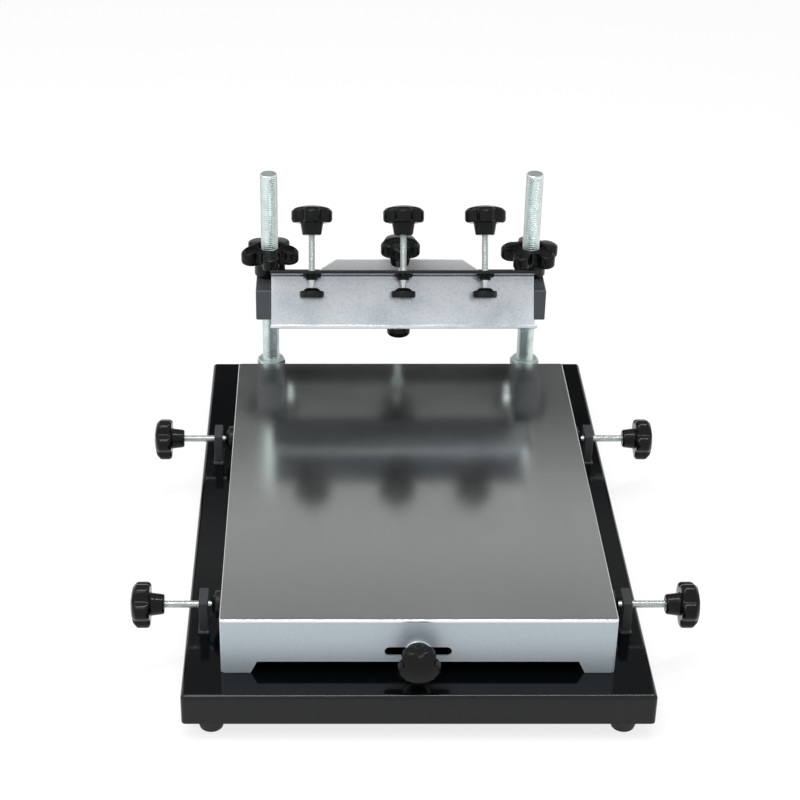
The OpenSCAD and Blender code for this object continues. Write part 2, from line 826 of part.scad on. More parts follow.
// Folded channel, open to the front, that takes the edge of a stencil frame
module clamp_channel() {
  color(silver_paint) in_holder() difference() {
    translate([-channel_w / 2, 0, 0]) rotate([90, 0, 90]) linear_extrude(channel_w)
      difference() {
        channel_section(0);
        channel_section(channel_sheet);
        translate([y_web - flange_d - 2 * over - lip_d, 0])
          square([2 * over + lip_d, channel_rise + over]);
        translate([y_web - 2 * lip_d - 2 * over - flange_d, z_lip - over])
          square([lip_d + 2 * over + flange_d, -z_lip]);
      }
    for (x = clamp_x) translate([x, y_clamp, z_flange - over])
      cylinder(d = screw_d + 2 * hole_fit, h = channel_sheet + 2 * over);
  }
}

// Outline of an ear from its round end at the pivot to its root on the web
module ear_outline() {
  root_z = (channel_rise + z_lip) / 2;
  circle(r = ear_r);
  polygon([
    polar(ear_r, 90 + ear_lean),
    [-web_reach, root_z + ear_root_h / 2],
    [-web_reach, root_z - ear_root_h / 2],
    polar(ear_r, 270 - ear_lean)
  ]);
}

// Plates welded to the back of the web that turn on the pivot bolts
module holder_ears() {
  color(silver_paint) in_holder() for (side = [-1, 1]) difference() {
    translate([side * (x_ear - ear_t / 2) - ear_t / 2, 0, 0]) rotate([90, 0, 90])
      linear_extrude(ear_t) ear_outline();
    translate([side * (x_ear - ear_t - over), 0, 0]) rotate([0, side * 90, 0])
      cylinder(d = pivot_d + 2 * run_fit, h = ear_t + 2 * over);
  }
}

module clamp_weld_nuts() {
  color(zinc) in_holder() for (x = clamp_x)
    translate([x, y_clamp, z_flange - nut_h]) hex_nut(nut_d, screw_d + 2 * run_fit, nut_h);
}

module left_clamp_pad() { on_clamp(0) swivel_pad(); }

module left_clamp_screw() { on_clamp(0) ball_stud(clamp_len); }

module left_clamp_knob() { on_clamp(0) translate([0, 0, clamp_len]) star_knob(); }

module middle_clamp_pad() { on_clamp(1) swivel_pad(); }

module middle_clamp_screw() { on_clamp(1) ball_stud(clamp_len); }

module middle_clamp_knob() { on_clamp(1) translate([0, 0, clamp_len]) star_knob(); }

module right_clamp_pad() { on_clamp(2) swivel_pad(); }

module right_clamp_screw() { on_clamp(2) ball_stud(clamp_len); }

module right_clamp_knob() { on_clamp(2) translate([0, 0, clamp_len]) star_knob(); }

module rear_pad() { on_rear() swivel_pad(); }

module rear_screw() { on_rear() ball_stud(rear_len); }

module rear_knob() { on_rear() translate([0, 0, rear_len]) star_knob(); }

base_tray();
rubber_feet();
foot_screws();
foot_nuts();
side_brackets();
front_nut_bracket();
front_weld_nut();
left_column();
right_column();
column_washers();
column_nuts();
column_jam_nuts();
column_under_nuts();
table_shell();
table_top_plate();
front_washer();
front_collar();
front_screw();
front_knob();
left_front_pad();
left_front_screw();
left_front_knob();
left_rear_pad();
left_rear_screw();
left_rear_knob();
right_front_pad();
right_front_screw();
right_front_knob();
right_rear_pad();
right_rear_screw();
right_rear_knob();
left_block();
right_block();
retaining_screws();
crossbar();
crossbar_weld_nut();
pivot_bolts();
pivot_washers();
left_star_nut();
left_sleeve();
right_star_nut();
right_sleeve();
clamp_channel();
holder_ears();
clamp_weld_nuts();
left_clamp_pad();
left_clamp_screw();
left_clamp_knob();
middle_clamp_pad();
middle_clamp_screw();
middle_clamp_knob();
right_clamp_pad();
right_clamp_screw();
right_clamp_knob();
rear_pad();
rear_screw();
rear_knob();
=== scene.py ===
"""Looks of a manual stencil printer: folded steel, threaded columns, hand screws and star nuts.

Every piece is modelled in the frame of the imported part, rides on one of its bodies and stands for the
solids that it is named after. Sizes are in millimetres until a shape is drawn, in metres.
"""

import json
import logging
import math
from dataclasses import dataclass
from enum import Enum
from typing import Any, Callable, Iterable, Sequence

import bmesh
import bpy
from mathutils import Matrix, Vector


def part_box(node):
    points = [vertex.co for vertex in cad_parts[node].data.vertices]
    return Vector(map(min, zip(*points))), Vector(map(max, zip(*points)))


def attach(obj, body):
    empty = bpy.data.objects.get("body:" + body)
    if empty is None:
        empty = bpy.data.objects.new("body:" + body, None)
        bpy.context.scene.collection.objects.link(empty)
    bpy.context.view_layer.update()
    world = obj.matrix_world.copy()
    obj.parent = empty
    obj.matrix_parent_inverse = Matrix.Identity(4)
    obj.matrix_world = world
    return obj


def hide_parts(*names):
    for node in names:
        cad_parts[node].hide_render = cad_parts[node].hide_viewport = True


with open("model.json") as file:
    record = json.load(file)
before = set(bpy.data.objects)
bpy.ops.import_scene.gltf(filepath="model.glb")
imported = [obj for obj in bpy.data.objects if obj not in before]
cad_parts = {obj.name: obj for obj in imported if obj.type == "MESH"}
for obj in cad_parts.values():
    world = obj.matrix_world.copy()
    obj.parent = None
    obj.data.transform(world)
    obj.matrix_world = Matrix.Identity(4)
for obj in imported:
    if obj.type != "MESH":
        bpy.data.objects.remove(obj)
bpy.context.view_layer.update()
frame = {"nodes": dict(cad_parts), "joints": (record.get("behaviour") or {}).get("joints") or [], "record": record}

LOG = logging.getLogger("stencil_printer")
MM = 0.001
MERGE_M = 1e-6
NEAR_MM = 0.01
FACING = 0.5
SHARP_ANGLE = math.radians(33.0)
UP = Vector((0.0, 0.0, 1.0))
DOWN = -UP
FRONT = Vector((0.0, -1.0, 0.0))
RIGHT = Vector((1.0, 0.0, 0.0))
Point = tuple[float, float]
Rule = Callable[[float, float, float], Point]
Tree = bpy.types.NodeTree
Node = bpy.types.Node
Socket = bpy.types.NodeSocket

NODE_BODY = {node: body for body, nodes in frame["record"]["behaviour"]["bodies"].items() for node in nodes}
JOINTS = {joint["name"]: joint for joint in frame["joints"]}


class Slot(Enum):
    """Material slots of the record."""

    BASE_PAINT = "base_paint"
    FOOT_RUBBER = "foot_rubber"
    ZINC_PLATE = "zinc_plate"
    BRIGHT_SCREW = "bright_screw"
    SILVER_PAINT = "silver_paint"
    POLISHED_STEEL = "polished_steel"
    HAMMER_PAINT = "hammer_paint"
    KNOB_PLASTIC = "knob_plastic"
    PAD_PLASTIC = "pad_plastic"


class Side(Enum):
    """Left and right of the middle plane, as the operator sees them."""

    LEFT = -1
    RIGHT = 1

    @property
    def word(self) -> str:
        """The side's name in the names of nodes."""
        return self.name.lower()


def linear(colour: str) -> tuple[float, float, float, float]:
    """Turns an sRGB hex colour to linear light.

    Args:
        colour: Six hex digits after a hash mark.

    Returns:
        Red, green and blue from 0 to 1, and full alpha.
    """
    parts = [int(colour[i:i + 2], 16) / 255 for i in (1, 3, 5)]
    red, green, blue = (p / 12.92 if p <= 0.04045 else ((p + 0.055) / 1.055) ** 2.4 for p in parts)
    return red, green, blue, 1.0


def per_metre(size_mm: float) -> float:
    """Scale of a pattern whose marks are this many millimetres apart."""
    return 1.0 / (size_mm * MM)


def add_node(tree: Tree, kind: str, inputs: dict[Any, Any], **settings: Any) -> Node:
    """Adds one node with its settings and links.

    Args:
        tree: Node tree that gets the node.
        kind: Type of the node, without the word ShaderNode.
        inputs: Values, or outputs of other nodes, by the name or number of the input.
        settings: Properties of the node.

    Returns:
        The new node.
    """
    node = tree.nodes.new("ShaderNode" + kind)
    for name, value in settings.items():
        setattr(node, name, value)
    for key, value in inputs.items():
        if isinstance(value, Socket):
            tree.links.new(value, node.inputs[key])
        else:
            node.inputs[key].default_value = value
    return node


def ranged(value: Socket, source: Point, target: Point) -> dict[str, Any]:
    """Inputs that spread one range of values over another.

    Args:
        value: Value to change.
        source: Lowest and highest value that comes in.
        target: What these become.

    Returns:
        The inputs by their names.
    """
    return {"Value": value, "From Min": source[0], "From Max": source[1], "To Min": target[0], "To Max": target[1]}


@dataclass(frozen=True)
class Finish:
    """A surface: what it is made of and how it was made.

    Attributes:
        name: Name of the material.
        slot: Slot of the record that it belongs to; not used.
        colour: Main colour, sRGB hex.
        shade: Second colour of its pattern, sRGB hex.
        metallic: Share of uncoated metal.
        roughness: Mean roughness.
        gleam: Level of the shader's mirror at a straight look, 0.5 for common lacquer.
    """

    name: str
    slot: Slot
    colour: str
    shade: str
    metallic: float
    roughness: float
    gleam: float = 0.5

    def material(self) -> bpy.types.Material:
        """Finds the material, which is made on its first use.

        Returns:
            The material.
        """
        made = bpy.data.materials.get(self.name)
        if made is None:
            made = bpy.data.materials.new(self.name)
            made.use_nodes = True
            shader = made.node_tree.nodes["Principled BSDF"]
            shader.inputs["Metallic"].default_value = self.metallic
            shader.inputs["Roughness"].default_value = self.roughness
            shader.inputs["Specular IOR Level"].default_value = self.gleam
            shader.inputs["Base Color"].default_value = linear(self.colour)
            place = add_node(made.node_tree, "TexCoord", {}).outputs["Object"]
            self.dress(made.node_tree, shader, place)
        return made

    def dress(self, tree: Tree, shader: Node, place: Socket) -> None:
        """Adds the finish's own pattern.

        Args:
            tree: Node tree of the material.
            shader: Its surface shader.
            place: Object coordinates, in metres.
        """
        raise NotImplementedError

    def coat(self, tree: Tree, shader: Node, share: Socket, relief: Socket, deep_mm: float) -> None:
        """Gives the shader its two colours and the relief of its skin.

        Args:
            tree: Node tree of the material.
            shader: Its surface shader.
            share: Share of the second colour.
            relief: Height of the skin from 0 to 1.
            deep_mm: Depth of that relief.
        """
        tones = {0: share, 6: linear(self.colour), 7: linear(self.shade)}
        skin = add_node(tree, "Bump", {"Height": relief, "Distance": deep_mm * MM})
        tree.links.new(add_node(tree, "Mix", tones, data_type="RGBA").outputs[2], shader.inputs["Base Color"])
        tree.links.new(skin.outputs["Normal"], shader.inputs["Normal"])

    def lay_over(self, tree: Tree, shader: Node, share: Socket, colour: str) -> None:
        """Mixes painted shade over the coat.

        Args:
            tree: Node tree of the material.
            shader: Its surface shader, with the coat on it.
            share: Share of the painted shade.
            colour: Colour of the painted shade, sRGB hex.
        """
        coat = shader.inputs["Base Color"].links[0].from_socket
        tones = {0: share, 6: coat, 7: linear(colour)}
        tree.links.new(add_node(tree, "Mix", tones, data_type="RGBA").outputs[2], shader.inputs["Base Color"])

    def gloss(self, low: float, high: float) -> Point:
        """Range of roughness from a lowest to a highest share of the mean."""
        return self.roughness * low, self.roughness * high


class GlossEnamel(Finish):
    """Film on steel, from stoved gloss enamel to a dull satin: softened by orange peel, with fine specks painted
    lighter as glints.
    """

    def dress(self, tree: Tree, shader: Node, place: Socket) -> None:
        """Adds painted glints in fine specks, smudges of duller gloss and orange peel.

        Args:
            tree: Node tree of the material.
            shader: Its surface shader.
            place: Object coordinates, in metres.
        """
        speck_mm, smudge_mm, peel_mm, peel_deep_mm = 1.1, 55.0, 1.6, 0.005
        speck = add_node(tree, "TexVoronoi", {"Vector": place, "Scale": per_metre(speck_mm)})
        # Painted glints: small specks lighter in the colour, standing in for sparkle.
        painted_glint = add_node(tree, "MapRange", ranged(speck.outputs["Distance"], (0.12, 0.02), (0.0, 1.0)))
        smudge = add_node(tree, "TexNoise", {"Vector": place, "Scale": per_metre(smudge_mm), "Detail": 4.0})
        dull = add_node(tree, "MapRange", ranged(smudge.outputs["Fac"], (0.35, 0.7), self.gloss(0.75, 1.5)))
        peel = add_node(tree, "TexNoise", {"Vector": place, "Scale": per_metre(peel_mm), "Detail": 2.0})
        self.coat(tree, shader, painted_glint.outputs["Result"], peel.outputs["Fac"], peel_deep_mm)
        tree.links.new(dull.outputs["Result"], shader.inputs["Roughness"])


class MouldedPlastic(Finish):
    """Injection moulded phenolic or nylon: deep black with a soft gloss and faint flow marks."""

    def dress(self, tree: Tree, shader: Node, place: Socket) -> None:
        """Adds flow marks in the gloss, dust in the colour and a fine moulded skin.

        Args:
            tree: Node tree of the material.
            shader: Its surface shader.
            place: Object coordinates, in metres.
        """
        flow_mm, dust_mm, skin_mm, skin_deep_mm = 9.0, 3.0, 0.5, 0.006
        flow = add_node(tree, "TexNoise", {"Vector": place, "Scale": per_metre(flow_mm), "Detail": 3.0})
        gloss = add_node(tree, "MapRange", ranged(flow.outputs["Fac"], (0.3, 0.7), self.gloss(0.7, 1.35)))
        dust = add_node(tree, "TexNoise", {"Vector": place, "Scale": per_metre(dust_mm), "Detail": 4.0})
        share = add_node(tree, "MapRange", ranged(dust.outputs["Fac"], (0.5, 0.8), (0.0, 0.6)))
        grain = add_node(tree, "TexNoise", {"Vector": place, "Scale": per_metre(skin_mm), "Detail": 2.0})
        self.coat(tree, shader, share.outputs["Result"], grain.outputs["Fac"], skin_deep_mm)
        tree.links.new(gloss.outputs["Result"], shader.inputs["Roughness"])


class MouldedRubber(Finish):
    """Moulded rubber: dull, a little grey where dust holds in its grain."""

    def dress(self, tree: Tree, shader: Node, place: Socket) -> None:
        """Adds dust and a pebbled grain.

        Args:
            tree: Node tree of the material.
            shader: Its surface shader.
            place: Object coordinates, in metres.
        """
        dust_mm, grain_mm, grain_deep_mm = 4.0, 0.7, 0.03
        dust = add_node(tree, "TexNoise", {"Vector": place, "Scale": per_metre(dust_mm), "Detail": 5.0})
        share = add_node(tree, "MapRange", ranged(dust.outputs["Fac"], (0.45, 0.75), (0.0, 1.0)))
        grain = add_node(tree, "TexNoise", {"Vector": place, "Scale": per_metre(grain_mm), "Detail": 2.0})
        self.coat(tree, shader, share.outputs["Result"], grain.outputs["Fac"], grain_deep_mm)


class ZincPlate(Finish):
    """Bright zinc on rolled threads: cool white metal with cloudy spangle and a satin gloss."""

    def dress(self, tree: Tree, shader: Node, place: Socket) -> None:
        """Adds cloudy tone and gloss, and fine pitting.

        Args:
            tree: Node tree of the material.
            shader: Its surface shader.
            place: Object coordinates, in metres.
        """
        cloud_mm, pit_mm, pit_deep_mm = 9.0, 0.35, 0.004
        cloud = add_node(tree, "TexNoise", {"Vector": place, "Scale": per_metre(cloud_mm), "Detail": 3.0})
        share = add_node(tree, "MapRange", ranged(cloud.outputs["Fac"], (0.4, 0.8), (0.0, 0.6)))
        gloss = add_node(tree, "MapRange", ranged(cloud.outputs["Fac"], (0.3, 0.7), self.gloss(0.85, 1.2)))
        pits = add_node(tree, "TexNoise", {"Vector": place, "Scale": per_metre(pit_mm), "Detail": 2.0})
        self.coat(tree, shader, share.outputs["Result"], pits.outputs["Fac"], pit_deep_mm)
        tree.links.new(gloss.outputs["Result"], shader.inputs["Roughness"])


class SilverPaint(Finish):
    """Sprayed aluminium paint: pale blue grey, satin, with flakes that sparkle in a fine grain."""

    def dress(self, tree: Tree, shader: Node, place: Socket) -> None:
        """Adds flakes, a little wider than real ones so that they show, and a sprayed skin.

        Args:
            tree: Node tree of the material.
            shader: Its surface shader.
            place: Object coordinates, in metres.
        """
        flake_mm, skin_mm, skin_deep_mm = 0.8, 0.9, 0.004
        flake = add_node(tree, "TexVoronoi", {"Vector": place, "Scale": per_metre(flake_mm)})
        bright = add_node(tree, "SeparateColor", {"Color": flake.outputs["Color"]}).outputs["Red"]
        share = add_node(tree, "MapRange", ranged(bright, (0.3, 1.0), (0.0, 0.5)))
        gloss = add_node(tree, "MapRange", ranged(bright, (0.0, 1.0), self.gloss(0.92, 1.08)))
        spray = add_node(tree, "TexNoise", {"Vector": place, "Scale": per_metre(skin_mm), "Detail": 3.0})
        self.coat(tree, shader, share.outputs["Result"], spray.outputs["Fac"], skin_deep_mm)
        tree.links.new(gloss.outputs["Result"], shader.inputs["Roughness"])


@dataclass(frozen=True)
class MaskedPaint(SilverPaint):
    """Pale satin paint above a line, with near black painted shade below it.

    Attributes:
        line_m: Height below which shade is painted.
        primer: Colour of the painted shade, sRGB hex.
    """

    line_m: float = 0.0
    primer: str = "#121314"

    def dress(self, tree: Tree, shader: Node, place: Socket) -> None:
        """Adds the paint above the line and painted shade below it.

        Args:
            tree: Node tree of the material.
            shader: Its surface shader.
            place: Object coordinates, in metres.
        """
        super().dress(tree, shader, place)
        soft_mm = 0.5
        # Painted shade: near black below the line, where the crossbar lies in shade under the holder.
        height = add_node(tree, "SeparateXYZ", {"Vector": place}).outputs["Z"]
        bare = add_node(tree, "MapRange", ranged(height, (self.line_m, self.line_m - soft_mm * MM), (0.0, 1.0)))
        self.lay_over(tree, shader, bare.outputs["Result"], self.primer)


@dataclass(frozen=True)
class HammerPaint(Finish):
    """Hammer paint: glossy silver lacquer that dries in shallow beaten dimples with darker rims.

    The flange's cut edge and what faces down are darkened with painted shade.

    Attributes:
        down: Direction that the faces with painted shade look to, in the piece's own frame.
        front: Direction that the flange's cut edge faces.
        edge_m: Place along that direction where the cut edge starts.
        bare: Colour of the painted shade, sRGB hex.
    """

    down: tuple[float, float, float] = (0.0, 0.0, -1.0)
    front: tuple[float, float, float] = (0.0, -1.0, 0.0)
    edge_m: float = 1.0
    bare: str = "#1b1c1e"

    def dress(self, tree: Tree, shader: Node, place: Socket) -> None:
        """Adds dimples of one or two millimetres, their dark rims, slow clouds in the film and painted shade.

        Args:
            tree: Node tree of the material.
            shader: Its surface shader.
            place: Object coordinates, in metres.
        """
        bend_mm, push_mm, dimple_mm, deep_mm, cloud_mm = 2.5, 1.8, 1.7, 0.08, 48.0
        bent = add_node(tree, "TexNoise", {"Vector": place, "Scale": per_metre(bend_mm), "Detail": 1.0})
        push = add_node(tree, "VectorMath", {0: bent.outputs["Color"], 1: (push_mm * MM,) * 3}, operation="MULTIPLY")
        spot = add_node(tree, "VectorMath", {0: place, 1: push.outputs["Vector"]}, operation="ADD")
        dimple = add_node(tree, "TexVoronoi", {"Vector": spot.outputs["Vector"], "Scale": per_metre(dimple_mm)},
                          feature="SMOOTH_F1")
        rim = add_node(tree, "MapRange", ranged(dimple.outputs["Distance"], (0.35, 0.75), (0.0, 0.3)))
        film = add_node(tree, "TexNoise", {"Vector": place, "Scale": per_metre(cloud_mm), "Detail": 2.0})
        cloud = add_node(tree, "MapRange", ranged(film.outputs["Fac"], (0.45, 0.7), (0.0, 0.4)))
        dark = add_node(tree, "Math", {0: rim.outputs["Result"], 1: cloud.outputs["Result"]}, operation="ADD",
                        use_clamp=True)
        self.coat(tree, shader, dark.outputs[0], dimple.outputs["Distance"], deep_mm)
        # Painted shade: what faces down and the flange's cut edge are darkened.
        self.lay_over(tree, shader, self.thin_share(tree, place), self.bare)

    def thin_share(self, tree: Tree, place: Socket) -> Socket:
        """Works out where shade is painted: on what faces down, and on the flange's cut edge.

        Args:
            tree: Node tree of the material.
            place: Object coordinates, in metres.

        Returns:
            Share of the painted shade.
        """
        normal = place.node.outputs["Normal"]
        facing = add_node(tree, "VectorMath", {0: normal, 1: self.down}, operation="DOT_PRODUCT")
        under = add_node(tree, "MapRange", ranged(facing.outputs["Value"], (0.3, 0.7), (0.0, 0.92)))
        reach = add_node(tree, "VectorMath", {0: place, 1: self.front}, operation="DOT_PRODUCT")
        edge = add_node(tree, "MapRange", ranged(reach.outputs["Value"], (self.edge_m - MM, self.edge_m), (0.0, 1.0)))
        return add_node(tree, "Math", {0: under.outputs["Result"], 1: edge.outputs["Result"]},
                        operation="MAXIMUM").outputs[0]


class BrushedSheet(Finish):
    """Steel sheet ground and polished along its length: a blurred mirror with hairlines from front to rear."""

    def dress(self, tree: Tree, shader: Node, place: Socket) -> None:
        """Adds hairlines, drawn coarser than real ones so that they show, and hand marks in the gloss.

        Args:
            tree: Node tree of the material.
            shader: Its surface shader.
            place: Object coordinates, in metres.
        """
        hair_mm, hair_deep_mm, hand_mm, stretch = 0.6, 0.0002, 70.0, 0.02
        drawn = add_node(tree, "Mapping", {"Vector": place, "Scale": (1.0, stretch, 1.0)}).outputs["Vector"]
        hair = add_node(tree, "TexNoise", {"Vector": drawn, "Scale": per_metre(hair_mm), "Detail": 3.0}).outputs["Fac"]
        share = add_node(tree, "MapRange", ranged(hair, (0.35, 0.7), (0.0, 0.5)))
        hand = add_node(tree, "TexNoise", {"Vector": place, "Scale": per_metre(hand_mm), "Detail": 4.0})
        gloss = add_node(tree, "MapRange", ranged(hand.outputs["Fac"], (0.35, 0.7), self.gloss(0.92, 1.1)))
        self.coat(tree, shader, share.outputs["Result"], hair, hair_deep_mm)
        tree.links.new(gloss.outputs["Result"], shader.inputs["Roughness"])


# The tray: deep black and a near mirror.
ENAMEL = GlossEnamel("gloss_black_enamel", Slot.BASE_PAINT, "#06080a", "#22262a", 0.0, 0.1, 0.32)
# The brackets: dull dark grey without a mirror; the grey, lighter than the tray's black, is painted reflection of the
# light in front.
SATIN = GlossEnamel("satin_black_paint", Slot.BASE_PAINT, "#2f3133", "#3f4143", 0.0, 0.42, 0.4)
# The lift blocks: drawn grey with a soft sheen, lighter than the tray's black: painted reflection.
GREY_BLOCK_PAINT = GlossEnamel("ground_cast_iron", Slot.BASE_PAINT, "#4a4d50", "#5c5f62", 0.35, 0.4, 0.5)
# Knobs and star nuts: black with long soft lights.
PLASTIC = MouldedPlastic("moulded_black_phenolic", Slot.KNOB_PLASTIC, "#08090a", "#101112", 0.0, 0.15, 0.18)
# Swivel pads: black and duller than the knobs.
PAD_PLASTIC = MouldedPlastic("satin_black_nylon", Slot.PAD_PLASTIC, "#0c0d0e", "#18191b", 0.0, 0.34, 0.22)
# Feet: dull and a little dusty.
RUBBER = MouldedRubber("black_moulded_rubber", Slot.FOOT_RUBBER, "#141415", "#2b2b2a", 0.0, 0.75)
# Columns, nuts and washers: cool white metal.
ZINC = ZincPlate("bright_zinc_plate", Slot.ZINC_PLATE, "#e6f0ee", "#c4cfcf", 1.0, 0.34)
# Hand screws: bright steel with a grey cast.
BRIGHT = ZincPlate("bright_rolled_steel", Slot.BRIGHT_SCREW, "#cad0cd", "#b4bab7", 1.0, 0.28)
# Sleeves, set screws and weld nuts: dark oiled steel; on the sleeves the dark is also painted shade in the star nuts'
# recesses.
BLACK_OXIDE_AND_PAINTED_SHADE = ZincPlate("black_oxide_steel", Slot.ZINC_PLATE, "#2b2c2e", "#1a1b1c", 1.0, 0.45)
# The table's shell: satin silver with a fine sparkle.
SILVER = SilverPaint("sprayed_silver_paint", Slot.SILVER_PAINT, "#b9c5cd", "#c8d2d8", 0.35, 0.42)
# The table's top: a slightly blurred mirror.
SHEET = BrushedSheet("polished_steel_sheet", Slot.POLISHED_STEEL, "#edefee", "#e2e5e5", 1.0, 0.16)


def arc(centre: Point, radius: float, start: float, end: float, count: int = 5) -> list[Point]:
    """Points along an arc.

    Args:
        centre: Middle of the arc.
        radius: Its radius.
        start: Angle of its first point, in degrees.
        end: Angle of its last point, in degrees.
        count: Number of steps between them.

    Returns:
        The points, with both ends.
    """
    angles = [math.radians(start + (end - start) * i / count) for i in range(count + 1)]
    return [(centre[0] + radius * math.cos(a), centre[1] + radius * math.sin(a)) for a in angles]


class Shape:
    """A mesh in the making. Sizes come in millimetres, and the mesh holds metres.

    Attributes:
        THREAD_DEPTH: Depth of a thread as a share of its pitch.
        CUT_ANGLE: Angle over which an edge of a folded sheet is cut and not bent.
    """

    THREAD_DEPTH = 0.5
    CUT_ANGLE = math.radians(70.0)

    def __init__(self) -> None:
        """Starts with nothing."""
        self.bm = bmesh.new()

    @classmethod
    def lathe(cls, profile: Sequence[Point], steps: int = 64, ring: bool = False) -> "Shape":
        """Spins a half outline about Z.

        Args:
            profile: Radius and height of each point.
            steps: Steps of the full turn.
            ring: Whether the last point joins the first, as on a washer.

        Returns:
            The turned solid.
        """
        made = cls()
        verts = [made.bm.verts.new((r * MM, 0.0, z * MM)) for r, z in profile]
        pairs = list(zip(verts, verts[1:]))
        if ring:
            pairs.append((verts[-1], verts[0]))
        edges = [made.bm.edges.new(pair) for pair in pairs]
        bmesh.ops.spin(made.bm, geom=verts + edges, cent=(0, 0, 0), axis=UP, dvec=(0, 0, 0),
                       angle=2 * math.pi, steps=steps, use_merge=True)
        return made.closed()

    @classmethod
    def washer(cls, hole: float, wide: float, thick: float, edge: float, steps: int = 48) -> "Shape":
        """Turns a washer on z = 0 with its outer edges chamfered.

        Args:
            hole: Radius of its hole.
            wide: Its radius.
            thick: Its thickness.
            edge: Size of the chamfer.
            steps: Steps of the full turn.

        Returns:
            The washer.
        """
        profile = [(hole, 0.0), (wide - edge, 0.0), (wide, edge), (wide, thick - edge), (wide - edge, thick),
                   (hole, thick)]
        return cls.lathe(profile, steps, ring=True)

    @classmethod
    def thread(cls, radius: float, pitch: float, length: float, steps: int = 20) -> "Shape":
        """Winds a right-hand thread up Z and trims it square at both ends.

        Args:
            radius: Radius over the crests.
            pitch: Rise of one turn.
            length: Length of the bar, from z = 0.
            steps: Steps of one turn.

        Returns:
            The threaded bar.
        """
        made = cls()
        lead, spare = 2, 3  # turns below z = 0 and turns more than the length needs, which the trim takes off
        root = radius - cls.THREAD_DEPTH * pitch
        shares = ((root, 0.0), (root, 0.2), (radius, 0.5), (radius, 0.7), (root, 1.0))
        verts = [made.bm.verts.new((r * MM, 0.0, (share - lead) * pitch * MM)) for r, share in shares]
        edges = [made.bm.edges.new(pair) for pair in zip(verts, verts[1:])]
        turns = math.ceil(length / pitch) + spare
        bmesh.ops.spin(made.bm, geom=verts + edges, cent=(0, 0, 0), axis=UP, angle=2 * math.pi * turns,
                       dvec=(0, 0, pitch * MM / steps), steps=turns * steps)
        bmesh.ops.remove_doubles(made.bm, verts=made.bm.verts, dist=MERGE_M)
        for height, normal in ((0.0, DOWN), (length, UP)):
            everything = made.bm.verts[:] + made.bm.edges[:] + made.bm.faces[:]
            bmesh.ops.bisect_plane(made.bm, geom=everything, plane_co=(0, 0, height * MM), plane_no=normal,
                                   clear_outer=True)
        rims = [edge for edge in made.bm.edges if edge.is_boundary]
        bmesh.ops.holes_fill(made.bm, edges=rims, sides=0)
        return made.closed()

    @classmethod
    def box(cls, low: Sequence[float], high: Sequence[float], edge: float = 0.6, segments: int = 2) -> "Shape":
        """Block between two corners with its edges rounded.

        Args:
            low: Lowest corner.
            high: Highest corner.
            edge: Radius of the edges.
            segments: Steps round an edge.

        Returns:
            The block.
        """
        made = cls.raw_box(low, high)
        return made.bevel(made.bm.edges[:], edge, segments)

    @classmethod
    def raw_box(cls, low: Sequence[float], high: Sequence[float]) -> "Shape":
        """Block between two corners with sharp edges, to be worked on.

        Args:
            low: Lowest corner.
            high: Highest corner.

        Returns:
            The block.
        """
        made = cls()
        size = [(b - a) * MM for a, b in zip(low, high)]
        middle = Vector([(a + b) / 2 * MM for a, b in zip(low, high)])
        bmesh.ops.create_cube(made.bm, size=1.0, matrix=Matrix.Translation(middle) @ Matrix.Diagonal((*size, 1)))
        return made

    @classmethod
    def plate(cls, outline: Sequence[Point], thickness: float, edge: float = 0.35) -> "Shape":
        """Flat plate from its outline on XY, standing on z = 0.

        Args:
            outline: Corners of the outline.
            thickness: Thickness of the plate.
            edge: Radius of its edges.

        Returns:
            The plate.
        """
        made = cls()
        face = made.bm.faces.new([made.bm.verts.new((x * MM, y * MM, 0.0)) for x, y in outline])
        raised = bmesh.ops.extrude_face_region(made.bm, geom=[face])["geom"]
        bmesh.ops.translate(made.bm, vec=UP * thickness * MM,
                            verts=[item for item in raised if isinstance(item, bmesh.types.BMVert)])
        made.closed()
        rims = [item for item in made.bm.edges if item.calc_face_angle(0.0) > SHARP_ANGLE]
        return made.bevel(rims, edge)

    @classmethod
    def folded(cls, path: Sequence[Point], width: float, sheet: float, edge: float = 0.3) -> "Shape":
        """Sheet bent along a path on YZ and as wide as it says along X.

        Args:
            path: Points of the sheet's outer face, as Y and Z.
            width: Width of the sheet, centred on X.
            sheet: Its thickness, to the right of the path's run.
            edge: Radius of the cut edges.

        Returns:
            The folded sheet.
        """
        made = cls()
        verts = [made.bm.verts.new((-width / 2 * MM, y * MM, z * MM)) for y, z in path]
        edges = [made.bm.edges.new(pair) for pair in zip(verts, verts[1:])]
        drawn = bmesh.ops.extrude_edge_only(made.bm, edges=edges)["geom"]
        bmesh.ops.translate(made.bm, vec=RIGHT * width * MM,
                            verts=[item for item in drawn if isinstance(item, bmesh.types.BMVert)])
        made.thicken(sheet)
        rims = [item for item in made.bm.edges if item.calc_face_angle(0.0) > cls.CUT_ANGLE]
        return made.bevel(rims, edge)

    def closed(self) -> "Shape":
        """Merges doubled points and turns all faces outwards.

        Returns:
            The shape itself.
        """
        bmesh.ops.remove_doubles(self.bm, verts=self.bm.verts, dist=MERGE_M)
        bmesh.ops.recalc_face_normals(self.bm, faces=self.bm.faces)
        return self

    def thicken(self, sheet: float) -> "Shape":
        """Gives a sheet its thickness, behind its faces.

        Args:
            sheet: The thickness.

        Returns:
            The shape itself.
        """
        bmesh.ops.solidify(self.bm, geom=self.bm.faces[:], thickness=sheet * MM)
        bmesh.ops.recalc_face_normals(self.bm, faces=self.bm.faces)
        return self

    def bevel(self, edges: Iterable[bmesh.types.BMEdge], radius: float, segments: int = 2) -> "Shape":
        """Rounds some edges.

        Args:
            edges: The edges.
            radius: Radius of the rounding.
            segments: Steps round an edge.

        Returns:
            The shape itself.
        """
        bmesh.ops.bevel(self.bm, geom=list(edges), offset=radius * MM, offset_type="OFFSET", affect="EDGES",
                        segments=segments, profile=0.5, material=-1, clamp_overlap=True)
        return self

